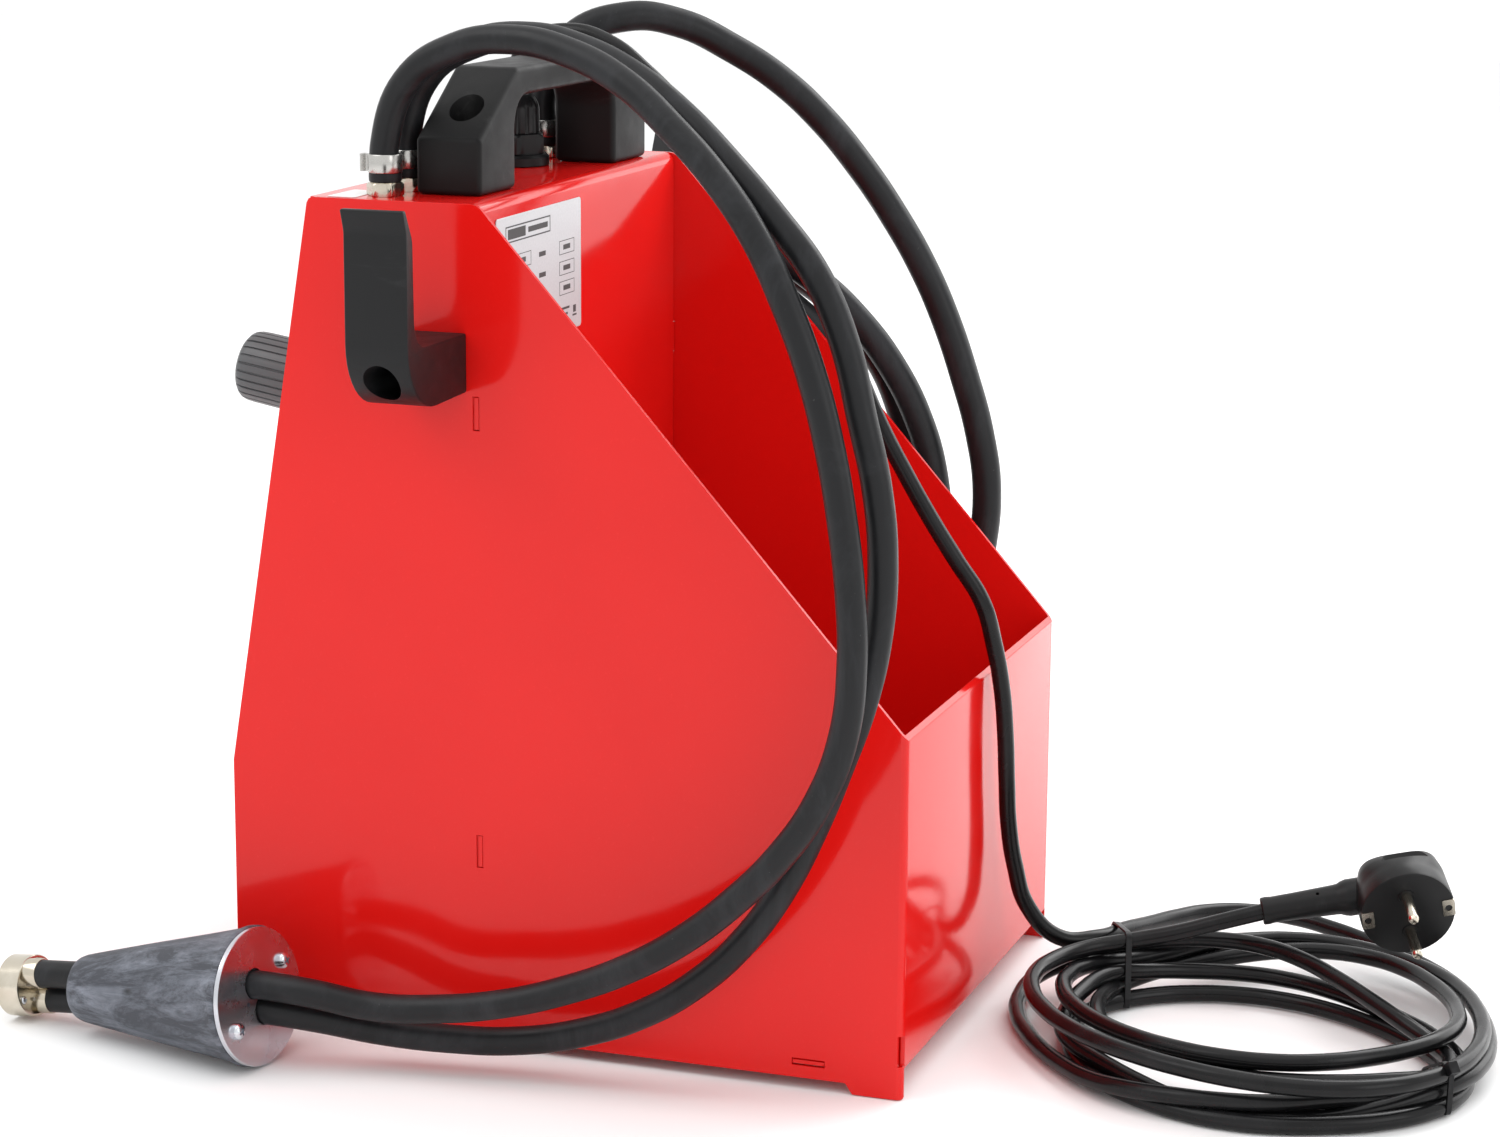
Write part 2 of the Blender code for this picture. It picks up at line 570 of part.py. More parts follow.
# ---------------------------------------------------------------- pressure regulator
def regulator():
    """Knob, screw and spring plate in a bonnet on the leaning panel, and the valve body behind it."""
    place = on_panel(KNOB_X, KNOB_RISE)
    bonnet = [
        (0.0097, 0.0055), (0.0097, -SHEET - GAP), (0.0190, -SHEET - GAP), (0.0190, -0.0280),
        (0.0160, -0.0280), (0.0160, -0.0055), (0.0034, -0.0055), (0.0034, 0.0055),
    ]
    turned("regulator_bonnet", bonnet, place, "aluminium", ring=True)
    nut = [(0.0100, GAP), (0.0145, GAP), (0.0145, 0.0045), (0.0135, 0.0055), (0.0100, 0.0055)]
    turned("regulator_nut", nut, place, "black_plastic", ring=True)
    regulator_knob(place)
    screw = [(0, -0.0240), (0.0030, -0.0240), (0.0030, 0.0240), (0, 0.0240)]
    turned("adjusting_screw", screw, place, "brass", 12)
    plate = [
        (0.0033, -0.0170), (0.0155, -0.0170), (0.0155, -0.0140), (0.0050, -0.0110),
        (0.0033, -0.0110),
    ]
    turned("spring_plate", plate, place, "brass", ring=True)
    body = [(0, -0.0500), (0.0170, -0.0500), (0.0190, -0.0480), (0.0190, -0.0283), (0, -0.0283)]
    turned("regulator_body", body, place, "aluminium")


def regulator_knob(place):
    """A fluted knob with a smooth skirt and a rounded front edge, bored for its screw."""
    flutes = 12
    steps = flutes * 3
    wave = (1.0, 0.90, 0.99)
    rows = [
        (0.0150, 0.0060, 0), (0.0160, 0.0075, 0), (0.0160, 0.0115, 0), (0.0156, 0.0135, 1),
        (0.0154, 0.0330, 1), (0.0148, 0.0375, 1), (0.0125, KNOB_REACH - 0.0008, 0),
        (0.0090, KNOB_REACH, 0),
    ]
    bm = bmesh.new()
    rings = []
    for radius, height, fluted in rows:
        ring = []
        for i in range(steps):
            r = radius * (wave[i % 3] if fluted else 1)
            a = 2 * pi * i / steps
            ring.append(bm.verts.new((r * cos(a), r * sin(a), height)))
        rings.append(ring)
    for low, high in zip(rings, rings[1:]):
        for i in range(steps):
            j = (i + 1) % steps
            bm.faces.new([low[i], low[j], high[j], high[i]])
    bm.faces.new(rings[0])
    bm.faces.new(rings[-1])
    knob = keep("regulator_knob", bm, place, "grey_plastic")
    drill(knob, 0.0033, place, 0.0, 0.0245, 12)


# ---------------------------------------------------------------- gauge, switch and fuse
def gauge():
    """A dial gauge: case and flange, dial, needle on its pivot and a clear lens."""
    place = on_panel(GAUGE_X, GAUGE_RISE)
    case = [
        (0, -0.028), (GAUGE_R, -0.028), (GAUGE_R, 0.0003), (0.0335, 0.0003), (0.0335, 0.0070),
        (0.0320, 0.0085), (0.0262, 0.0085), (0.0262, 0.0066), (0.0280, 0.0066),
        (0.0280, -0.0060), (0, -0.0060),
    ]
    turned("gauge_case", case, place, "black_plastic", 28)
    dial = [(0, -0.0057), (0.0277, -0.0057), (0.0277, -0.0047), (0, -0.0047)]
    turned("gauge_dial", dial, place, "dial_white", 28)
    lens = [(0, 0.0042), (0.0277, 0.0042), (0.0277, 0.0063), (0, 0.0063)]
    turned("gauge_lens", lens, place, "clear_lens", 28)
    pointer = [
        (-0.0015, -0.0070), (0.0015, -0.0070), (0.0022, -0.0022), (0.0030, 0), (0.0022, 0.0022),
        (0.0005, 0.0210), (-0.0005, 0.0210), (-0.0022, 0.0022), (-0.0030, 0), (-0.0022, -0.0022),
    ]
    at_zero = place @ Matrix.Rotation(radians(135), 4, "Z")
    prism("gauge_needle", pointer, -0.0040, -0.0025, at_zero, "needle_black", smooth=False)


def power_switch():
    """A snap-in rocker switch: framed housing with a well, and the rocker tilted to off."""
    place = on_panel(SWITCH_X, SWITCH_RISE)
    low, high = (-0.0120, -0.0155, GAP), (0.0120, 0.0155, 0.0022)
    housing = block("switch_housing", low, high, "black_plastic", place)
    body = block("switch_body", (-0.0101, -0.0136, -0.0220), (0.0101, 0.0136, 0.0010), None, place)
    boolean(housing, body, "UNION")
    carve(housing, (-0.0076, -0.0123, -0.0140), (0.0076, 0.0123, 0.0040), place)
    right = [(0.0080, -0.0045), (0.0109, -0.0020), (0.0113, 0.0010), (0.0098, 0.0055), (0, 0.0025)]
    left = [(-u, n) for u, n in reversed(right[:-1])]
    pivot = place @ Matrix.Translation((0, 0, -0.0025))
    across = pivot @ frame_at((0, 0, 0), (1, 0, 0), (0, 1, 0)) @ Matrix.Rotation(SWITCH_REST, 4, "Z")
    prism("switch_rocker", right + left, -0.0072, 0.0072, across, "black_plastic", smooth=False)


def fuse():
    """A panel fuse holder and its bayonet cap."""
    place = on_panel(FUSE_X, FUSE_RISE)
    holder = [
        (0, -0.0300), (0.0060, -0.0300), (0.0060, GAP), (0.0085, GAP), (0.0085, 0.0022),
        (0.0045, 0.0022), (0.0045, -0.0270), (0, -0.0270),
    ]
    turned("fuse_holder", holder, place, "black_plastic", 20)
    cap = [
        (0, -0.0080), (0.0041, -0.0080), (0.0041, 0.0026), (0.0066, 0.0026), (0.0066, 0.0070),
        (0.0058, 0.0078), (0, 0.0078),
    ]
    made = turned("fuse_cap", cap, place, "black_plastic", 20)
    carve(made, (-0.0045, -0.0006, 0.0062), (0.0045, 0.0006, 0.0100), place)


# ---------------------------------------------------------------- motor and pump
def motor():
    """A fan-cooled motor lying across the tower's foot, on an upright bracket."""
    face = -0.0153
    housing = [
        (MOTOR_R, -0.085), (MOTOR_R, face), (0.0055, face), (0.0055, face - 0.003),
        (0.0308, face - 0.003), (0.0308, -0.085),
    ]
    turned("motor_housing", housing, MOTOR_AXIS, "aluminium", 24, ring=True)
    stator = [(0.0238, -0.070), (0.0305, -0.070), (0.0305, -0.028), (0.0238, -0.028)]
    turned("motor_stator", stator, MOTOR_AXIS, "copper_winding", 16, ring=True)
    rotor = [
        (0, -0.0985), (0.004, -0.0985), (0.004, -0.068), (0.0232, -0.068), (0.0232, -0.030),
        (0.004, -0.030), (0.004, 0.0193), (0, 0.0193),
    ]
    turned("motor_rotor", rotor, MOTOR_AXIS, "stainless", 16)
    cap = [(0.0055, -0.0893), (MOTOR_R, -0.0893), (MOTOR_R, -0.0853), (0.0055, -0.0853)]
    turned("motor_end_cap", cap, MOTOR_AXIS, "aluminium", 24, ring=True)
    blades = 7
    outline = []
    for i in range(blades):
        for turn, radius in ((0.0, 0.010), (0.35, 0.010), (0.45, 0.029), (0.70, 0.029)):
            a = 2 * pi * (i + turn) / blades
            outline.append((radius * cos(a), radius * sin(a)))
    fan = prism("cooling_fan", outline, -0.0970, -0.0905, MOTOR_AXIS, "black_plastic", smooth=False)
    drill(fan, 0.0044, MOTOR_AXIS, -0.1100, -0.0800, 12)
    foot = TOWER_FLOOR + SHEET + GAP
    upright = [
        (-0.0150, foot), (0.0300, foot), (0.0300, foot + 0.003), (-0.0120, foot + 0.003),
        (-0.0120, 0.1120), (-0.0150, 0.1120),
    ]
    low, high = -MOTOR_Y - 0.030, -MOTOR_Y + 0.030
    bracket = prism("motor_bracket", upright, low, high, FRONT_VIEW, "zinc_steel", smooth=False)
    drill(bracket, 0.0055, MOTOR_AXIS, -0.0200, -0.0050)


def pump():
    """A rotary pump on the motor's shaft: body, rotor and cover."""
    face = -0.0117
    body = [
        (PUMP_R, face), (PUMP_R, 0.0200), (0.0205, 0.0200), (0.0205, face + 0.006),
        (0.0045, face + 0.006), (0.0045, face),
    ]
    turned("pump_body", body, MOTOR_AXIS, "brass", 24, ring=True)
    rotor = [(0.0043, face + 0.0065), (0.0190, face + 0.0065), (0.0190, 0.0190), (0.0043, 0.0190)]
    turned("pump_rotor", rotor, MOTOR_AXIS, "stainless", 16, ring=True)
    cover = [(0, 0.0203), (PUMP_R, 0.0203), (PUMP_R, 0.0263), (0, 0.0263)]
    turned("pump_cover", cover, MOTOR_AXIS, "brass")


def wiring():
    """The motor's capacitor and the terminal block on the tower's back wall."""
    low = MOTOR_Z + MOTOR_R + GAP
    place = frame_at((-0.060, MOTOR_Y, low), (0, 0, 1))
    can = [(0, 0), (0.0135, 0), (0.0150, 0.0015), (0.0150, 0.0500), (0.0135, 0.0515), (0, 0.0515)]
    turned("capacitor", can, place, "aluminium", 20)
    inner = TOWER_BACK - SHEET - GAP
    block("terminal_block", (-0.066, inner - 0.014, 0.236), (-0.024, inner, 0.254), "black_plastic")


def pipes():
    """The lines between pump, regulator and the fittings on top."""
    tube("suction_pipe", SUCTION_PIPE, PIPE_R, "pipe_nylon")
    tube("pressure_pipe", PRESSURE_PIPE, PIPE_R, "pipe_nylon")
    tube("return_pipe", RETURN_PIPE, PIPE_R, "pipe_nylon")
    tube("bleeder_pipe", BLEEDER_PIPE, PIPE_R, "pipe_nylon")


# ---------------------------------------------------------------- fittings on the tower's top
def hose_fitting(name, x, hose_radius):
    """A threaded stem through the top sheet with its hexagon above, and the ear clamp on the hose."""
    place = frame_at((x, FITTING_Y, HEIGHT), (0, 0, 1))
    stem = [
        (0, -0.0180), (0.0042, -0.0180), (0.0047, -0.0175), (0.0047, 0.0020), (0.0066, 0.0050),
        (0.0066, 0.0075), (0, 0.0075),
    ]
    fitting = turned(f"{name}_fitting", stem, place, "nickel", 16)
    hexagon = [(0, GAP), (0.0081, GAP), (0.0081, 0.0055), (0, 0.0055)]
    boolean(fitting, turned(f"{name}_hexagon", hexagon, place, None, 6), "UNION")
    inner, outer = hose_radius + GAP, hose_radius + 0.0011
    low, high = 0.0100, 0.0178
    band = [(inner, low), (outer, low), (outer, high), (inner, high)]
    clamp = turned(f"{name}_clamp", band, place, "stainless", 20, ring=True)
    ear = [
        (-0.0030, -outer - 0.0030), (0.0030, -outer - 0.0030), (0.0018, -outer + 0.0004),
        (-0.0018, -outer + 0.0004),
    ]
    boolean(clamp, prism(f"{name}_ear", ear, low, high, place, None, smooth=False), "UNION")


def cable_gland():
    """A screwed gland with flange, body and domed cap, bored for the lead."""
    place = frame_at((GLAND_X, FITTING_Y, HEIGHT), (0, 0, 1))
    bore = MAINS_R + GAP
    profile = [
        (bore, -0.0180), (0.0097, -0.0180), (0.0097, GAP), (0.0145, GAP), (0.0145, 0.0042),
        (0.0125, 0.0050), (0.0125, 0.0140), (0.0112, 0.0150), (0.0112, 0.0280),
        (0.0088, 0.0325), (0.0055, 0.0345), (bore, 0.0345),
    ]
    turned("cable_gland", profile, place, "black_plastic", 16, ring=True)


# ---------------------------------------------------------------- free hoses, cone and lead
def cone_frame():
    """The cone's placement: local Z from disc to tip, tilted so that disc and head rest on the floor."""
    tilt = asin((CONE_R - HEAD_R) / HEAD_TO)
    towards_disc = Vector((sin(CONE_YAW) * cos(tilt), cos(CONE_YAW) * cos(tilt), sin(tilt)))
    return frame_at(CONE_DISC, -towards_disc, (0, 0, 1))


def hose_line(place, sign):
    """A hose's straight run through the cone, as a placement beside the cone's axis."""
    across = Matrix.Rotation(radians(-21), 4, "Z") @ Vector((HOSE_SPREAD * sign, 0, 0))
    return place @ Matrix.Translation(across)


def cone():
    """The rubber stopper cone with its steel disc and the suction head beyond its tip."""
    place = cone_frame()
    face = SHEET + GAP
    taper = [
        (0, face), (CONE_R - 0.0005, face), (CONE_R, face + 0.0008), (CONE_R - 0.0006, face + 0.0035),
        (CONE_TIP_R + 0.0008, CONE_LENGTH - 0.003), (CONE_TIP_R - 0.0005, CONE_LENGTH),
        (0, CONE_LENGTH),
    ]
    rubber = turned("rubber_cone", taper, place, "cone_rubber", 24)
    plate = [(0, 0), (DISC_R, 0), (DISC_R, SHEET), (0, SHEET)]
    disc = turned("cone_plate", plate, place, "zinc_steel", 28)
    for sign in (1, -1):
        line = hose_line(place, sign)
        drill(rubber, HOSE_R + 0.0004, line, -0.01, 0.12)
        drill(disc, HOSE_R + 0.0004, line, -0.01, 0.01)
    head = [
        (0, HEAD_FROM), (0.0135, HEAD_FROM), (HEAD_R, HEAD_FROM + 0.0005), (HEAD_R, HEAD_TO),
        (0.0126, HEAD_TO), (0.0126, HEAD_FROM + 0.002), (0, HEAD_FROM + 0.002),
    ]
    turned("suction_head", head, place, "nickel", 24)


def free_hoses():
    """The suction and return hoses down to the suction head, and the pressure hose and its coil."""
    place = cone_frame()
    for name, route, sign in (("suction_hose", SUCTION_ROUTE, 1), ("return_hose", RETURN_ROUTE, -1)):
        line = hose_line(place, sign)
        stops = (-0.012, 0.0, 0.03, 0.08, HEAD_FROM - GAP)
        ends = [tuple(line @ Vector((0, 0, along))) for along in stops]
        tube(name, route + ends, HOSE_R, "rubber")
    tube("bleeder_hose", BLEEDER_ROUTE, BLEEDER_R, "rubber")
    low, high = COIL_X - COIL_WIDTH, COIL_X
    oval_ring("bleeder_coil", (COIL_Y, COIL_Z), COIL_SIZE, COIL_BAND, low, high, SIDE_VIEW, "rubber")


def bleeder_coupling():
    """The quick coupling on the pressure hose's end, beside the foot of its coil."""
    place = frame_at((-0.1420, COIL_Y - 0.045, COIL_Z - 0.1090), (0, 1, 0), (0, 0, 1))
    profile = [
        (0, 0), (0.0065, 0), (0.0085, 0.002), (0.0085, 0.016), (0.0110, 0.018), (0.0110, 0.036),
        (0.0095, 0.038), (0.0095, 0.046), (0.0060, 0.050), (0, 0.050),
    ]
    turned("bleeder_coupling", profile, place, "nickel", 16)


def mains_lead():
    """The lead from its gland, its loose coil on the floor, the last stretch and the angled plug."""
    tube("mains_cable", MAINS_ROUTE, MAINS_R, "cable_pvc")
    oval_ring(
        "mains_coil", LEAD_COIL, LEAD_COIL_SIZE, LEAD_COIL_BAND, 0, LEAD_COIL_HEIGHT,
        PLAN_VIEW, "cable_pvc", LEAD_COIL_TURN,
    )
    face = Vector(PLUG_FACE)
    lead_middle = face - PLUG_LEAD_DEPTH * PLUG_PINS
    lead_end = lead_middle + RELIEF_END * PLUG_LEAD
    start = lead_end + GAP * PLUG_LEAD
    route = [tuple(start + PLUG_LEAD * d) for d in (0.0, 0.02, 0.04, 0.062)]
    tube("plug_lead", route, MAINS_R, "cable_pvc")
    mains_plug(face, lead_middle)


def mains_plug(face, lead_middle):
    """An angled two-pin earthed plug with a tapered strain relief."""
    place = frame_at(face, PLUG_PINS, PLUG_LEAD)
    body = [
        (0, -PLUG_DEPTH), (0.0130, -PLUG_DEPTH), (0.0170, -0.0240), (PLUG_R, -0.0180),
        (PLUG_R, 0), (0, 0),
    ]
    plug = turned("mains_plug", body, place, "black_plastic", 24)
    along = frame_at(lead_middle, PLUG_LEAD, PLUG_PINS)
    relief = [
        (0, 0), (0.0085, 0.0005), (0.0082, 0.028), (0.0068, 0.030), (0.0055, RELIEF_END),
        (0, RELIEF_END),
    ]
    boolean(plug, turned("strain_relief", relief, along, None, 16), "UNION")
    across = PLUG_PINS.cross(PLUG_LEAD)
    for k, sign in enumerate((-1, 1)):
        pin_place = frame_at(face + sign * 0.0095 * across, PLUG_PINS, PLUG_LEAD)
        pin = [(0, -0.004), (0.0024, -0.004), (0.0024, 0.0175), (0.0014, 0.0190), (0, 0.0190)]
        boolean(plug, turned(f"plug_pin_{k}", pin, pin_place, None, 12), "UNION")


def main():
    for found in list(bpy.data.objects):
        bpy.data.objects.remove(found)
    body_shell()
    tower_shell()
    front_panel()
    base_plate()
    rating_label()
    carry_handle()
    hose_hook("right", 1)
    hose_hook("left", -1)
    regulator()
    gauge()
    power_switch()
    fuse()
    motor()
    pump()
    wiring()
    pipes()
    hose_fitting("suction", SUCTION_X, HOSE_R)
    hose_fitting("return", RETURN_X, HOSE_R)
    hose_fitting("bleeder", BLEEDER_X, BLEEDER_R)
    cable_gland()
    cone()
    free_hoses()
    bleeder_coupling()
    mains_lead()
    bpy.context.view_layer.update()


main()
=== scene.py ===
"""Looks of an electric brake bleeding unit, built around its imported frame.

Every piece is placed in the frame's own axes, in metres: +X right, +Y rear, +Z up.
"""

from math import asin, atan2, cos, hypot, pi, radians, sin

import bmesh
import bpy
import numpy as np
from mathutils import Matrix, Vector


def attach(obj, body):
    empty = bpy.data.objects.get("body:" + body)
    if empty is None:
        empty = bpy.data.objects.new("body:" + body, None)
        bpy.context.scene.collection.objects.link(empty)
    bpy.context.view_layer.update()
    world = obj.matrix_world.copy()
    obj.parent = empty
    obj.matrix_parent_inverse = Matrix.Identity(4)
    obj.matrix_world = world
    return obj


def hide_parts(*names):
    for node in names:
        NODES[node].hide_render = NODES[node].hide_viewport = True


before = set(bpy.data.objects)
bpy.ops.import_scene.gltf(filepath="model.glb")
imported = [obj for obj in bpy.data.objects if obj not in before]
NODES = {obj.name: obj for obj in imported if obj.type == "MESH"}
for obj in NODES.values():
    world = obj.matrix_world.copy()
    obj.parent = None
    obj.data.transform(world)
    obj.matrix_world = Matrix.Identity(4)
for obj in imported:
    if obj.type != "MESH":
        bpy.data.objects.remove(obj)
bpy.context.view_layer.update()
UNIT = "unit"

# ---------------------------------------------------------------- sizes shared with the frame
GAP = 0.0003
HEIGHT = 0.370
KINK = 0.1191
FRONT = -0.1475
TOP_FRONT = -0.1064
TOWER_BACK = -0.0284
HALF = 0.1193
LEAN = atan2(TOP_FRONT - FRONT, HEIGHT - KINK)
FITTING_Y = -0.0775
SUCTION_X, RETURN_X, GLAND_X, BLEEDER_X = 0.103, 0.081, -0.036, -0.073
HANDLE_Y = (-0.0652, -0.0370)
HOOK_Y = (-0.0615, -0.0335)
# Controls on the leaning panel: sideways, and up the panel from its lower edge.
KNOB_AT, GAUGE_AT = (0.075, 0.1656), (-0.030, 0.170)
SWITCH_AT, FUSE_AT = (0.075, 0.080), (-0.065, 0.055)
COUPLING_AT = (-0.1420, -0.0925, 0.0770)
SHARP = radians(35)
EDGE = 0.00028
FLOOR_Z, FLOOR_REACH = -0.0004, 6
HOSE_R, BLEEDER_R, MAINS_R = 0.00625, 0.0070, 0.0038

CONE_DISC = Vector((0.1725, -0.1100, 0.0307))
CONE_YAW = radians(8.73)
CONE_R, CONE_TIP_R, CONE_LENGTH = 0.0305, 0.0145, 0.095
DISC_R, HEAD_R, HEAD_FROM, HEAD_TO = 0.0300, 0.0138, 0.1225, 0.1345
HOSE_SPREAD = 0.0069
SHEET = 0.002

PLUG_FACE = Vector((-0.056, 0.3455, 0.0505))
PLUG_PINS = Vector((0.8996, 0.3382, -0.2763)).normalized()
PLUG_LEAD = Vector((0.290, -0.939, -0.185)).normalized()
PLUG_LEAD_DEPTH, RELIEF_END = 0.020, 0.063


def route(*points):
    """A cord's points, given in tenths of a millimetre."""
    return [tuple(value / 10000 for value in point) for point in points]


SUCTION_ROUTE = route(
    (1030, -775, 3778), (1030, -775, 3920), (1033, -739, 4078), (1051, -618, 4232),
    (1080, -437, 4334), (1130, -199, 4383), (1200, 97, 4354), (1280, 391, 4245), (1370, 690, 4028),
    (1450, 975, 3746), (1510, 1183, 3409), (1560, 1335, 3064), (1590, 1429, 2722),
    (1610, 1493, 2358), (1620, 1517, 2038), (1620, 1489, 1697), (1620, 1327, 1299),
    (1620, 1059, 972), (1620, 712, 686), (1620, 247, 455), (1640, -111, 353), (1670, -473, 312),
    (1705, -790, 329),
)
RETURN_ROUTE = route(
    (810, -775, 3778), (810, -775, 3920), (815, -737, 4097), (838, -586, 4261), (900, -297, 4375),
    (1000, 13, 4369), (1120, 320, 4289), (1240, 683, 4078), (1330, 1020, 3779), (1390, 1333, 3402),
    (1425, 1478, 2970), (1440, 1569, 2586), (1440, 1583, 2256), (1440, 1533, 1873),
    (1430, 1389, 1445), (1430, 1232, 1069), (1430, 977, 676), (1440, 583, 353), (1460, 195, 199),
    (1500, -173, 146), (1560, -521, 159), (1620, -829, 194),
)
PRESSURE_ROUTE = route(
    (-730, -775, 3778), (-730, -775, 4020), (-745, -755, 4130), (-785, -680, 4235),
    (-840, -570, 4305), (-910, -470, 4345), (-990, -390, 4352), (-1080, -290, 4336),
    (-1190, -150, 4268), (-1310, 105, 4113), (-1390, 380, 3871), (-1430, 670, 3513),
    (-1430, 930, 3095), (-1420, 1110, 2650),
)
LEAD_ROUTE = route(
    (-360, -775, 3850), (-360, -775, 4060), (-358, -755, 4160), (-345, -625, 4292),
    (-335, -440, 4316), (-320, -240, 4251), (-290, -35, 4098), (-250, 191, 3913), (-200, 429, 3677),
    (-145, 671, 3399), (-85, 866, 3149), (-30, 1008, 2889), (15, 1118, 2688), (60, 1330, 2353),
    (80, 1468, 2152), (82, 1562, 2025), (67, 1633, 1901), (29, 1662, 1765), (-29, 1687, 1572),
    (-74, 1703, 1333), (-120, 1707, 1021), (-182, 1715, 748), (-232, 1744, 562), (-274, 1793, 407),
    (-321, 1870, 306), (-361, 1955, 276),
)
# The lead's turns on the floor and the pressure hose's turns on the left hook, in order.
LEAD_TURNS = route(
    (-621, 2118, 252), (-885, 2204, 219), (-1143, 2307, 193), (-1369, 2465, 168),
    (-1474, 2715, 142), (-1406, 2983, 123), (-1264, 3223, 110), (-1095, 3445, 99), (-885, 3626, 92),
    (-636, 3753, 90), (-371, 3840, 93), (-98, 3895, 99), (181, 3903, 104), (451, 3839, 108),
    (668, 3668, 82), (819, 3439, 39), (927, 3182, 38), (958, 2908, 47), (872, 2644, 68),
    (725, 2409, 93), (536, 2206, 105), (285, 2088, 101), (8, 2070, 116), (-257, 2143, 153),
    (-463, 2326, 135), (-598, 2568, 118), (-631, 2843, 113), (-552, 3109, 109), (-404, 3345, 103),
    (-224, 3558, 97), (-18, 3745, 81), (236, 3850, 49), (510, 3816, 38), (746, 3671, 38),
    (914, 3448, 39), (1017, 3190, 39), (1030, 2913, 38), (946, 2648, 38), (790, 2417, 38),
    (575, 2242, 38), (319, 2132, 38), (44, 2096, 39), (-221, 2175, 38), (-420, 2367, 39),
    (-530, 2622, 40), (-543, 2899, 40), (-460, 3165, 40), (-313, 3401, 39), (-120, 3602, 38),
    (117, 3747, 39), (390, 3762, 53), (621, 3612, 71), (811, 3411, 107), (952, 3172, 108),
    (1007, 2899, 106), (974, 2624, 95), (847, 2379, 67), (651, 2182, 49), (429, 2013, 44),
    (185, 1877, 46), (-80, 1794, 60), (-342, 1841, 112), (-493, 2063, 179), (-587, 2317, 238),
    (-632, 2591, 262), (-573, 2861, 265), (-418, 3092, 250), (-235, 3301, 221), (-54, 3510, 179),
    (127, 3715, 127), (381, 3791, 125), (592, 3618, 138), (705, 3364, 134), (761, 3091, 131),
    (747, 2813, 129), (645, 2555, 127), (449, 2360, 123), (201, 2233, 117), (-71, 2174, 110),
    (-347, 2198, 89), (-592, 2327, 97), (-782, 2529, 112), (-932, 2764, 130), (-1015, 3028, 138),
    (-954, 3295, 141), (-766, 3500, 145), (-529, 3645, 154), (-265, 3734, 166), (12, 3752, 184),
    (276, 3672, 196), (499, 3505, 199), (664, 3281, 200), (738, 3014, 200), (714, 2737, 201),
    (612, 2479, 200), (440, 2260, 199), (215, 2096, 197), (-50, 2017, 191), (-320, 2069, 180),
    (-530, 2250, 166), (-738, 2436, 178), (-940, 2628, 167), (-1083, 2865, 155), (-1101, 3140, 143),
    (-993, 3396, 136), (-804, 3599, 138), (-561, 3735, 148), (-297, 3826, 158), (-23, 3876, 166),
    (255, 3877, 175), (527, 3815, 183), (766, 3675, 192), (935, 3456, 200), (1009, 3188, 207),
    (1002, 2910, 215), (936, 2639, 224), (818, 2387, 232), (643, 2170, 238), (418, 2007, 242),
    (156, 1916, 245), (-120, 1935, 246), (-360, 2085, 258), (-462, 2330, 298), (-505, 2580, 375),
)
HOSE_TURNS = route(
    (-1405, 1233, 2084), (-1398, 1193, 1726), (-1392, 1095, 1379), (-1383, 894, 1083),
    (-1365, 617, 852), (-1347, 332, 631), (-1333, 18, 456), (-1312, -332, 374), (-1293, -691, 390),
    (-1283, -1032, 504), (-1282, -1329, 708), (-1288, -1562, 983), (-1300, -1728, 1302),
    (-1318, -1815, 1651), (-1331, -1820, 2011), (-1334, -1749, 2365), (-1329, -1605, 2695),
    (-1321, -1386, 2981), (-1313, -1102, 3202), (-1311, -770, 3339), (-1318, -412, 3382),
    (-1336, -56, 3313), (-1361, 279, 3157), (-1383, 574, 2917), (-1399, 808, 2605),
    (-1419, 948, 2239), (-1440, 977, 1852), (-1461, 905, 1481), (-1473, 739, 1153),
    (-1481, 515, 868), (-1481, 249, 625), (-1481, -71, 460), (-1490, -426, 402), (-1506, -781, 456),
    (-1529, -1103, 614), (-1548, -1370, 855), (-1558, -1569, 1155), (-1558, -1699, 1491),
    (-1550, -1756, 1847), (-1538, -1732, 2206), (-1526, -1621, 2549), (-1518, -1421, 2848),
    (-1517, -1144, 3077), (-1523, -812, 3214), (-1530, -453, 3258), (-1535, -91, 3215),
    (-1531, 255, 3076), (-1519, 552, 2835), (-1504, 754, 2500), (-1479, 841, 2114),
    (-1451, 823, 1726), (-1411, 717, 1369), (-1386, 536, 1056), (-1379, 299, 785), (-1381, -5, 592),
    (-1385, -353, 504), (-1384, -711, 534), (-1367, -1041, 677), (-1343, -1319, 904),
    (-1316, -1527, 1197), (-1292, -1652, 1534), (-1277, -1696, 1891), (-1276, -1651, 2248),
    (-1287, -1515, 2582), (-1303, -1297, 2868), (-1315, -1010, 3085), (-1321, -680, 3230),
    (-1314, -318, 3244), (-1304, 25, 3123), (-1297, 339, 2926), (-1304, 582, 2638),
    (-1326, 708, 2280), (-1351, 709, 1902), (-1377, 613, 1544), (-1400, 467, 1213),
    (-1414, 235, 939), (-1420, -79, 781), (-1420, -440, 770),
)


# ---------------------------------------------------------------- camera and light
def camera():
    """The camera at the object's rear right, a little above it."""
    data = bpy.data.cameras.new("camera")
    data.lens = 86.784
    data.sensor_width = 36
    data.clip_start = 0.05
    made = bpy.data.objects.new("camera", data)
    made.location = (1.5033, 0.5731, 0.5430)
    made.rotation_euler = (1.3566, -0.0073, 1.9060)
    bpy.context.scene.collection.objects.link(made)
    bpy.context.scene.camera = made


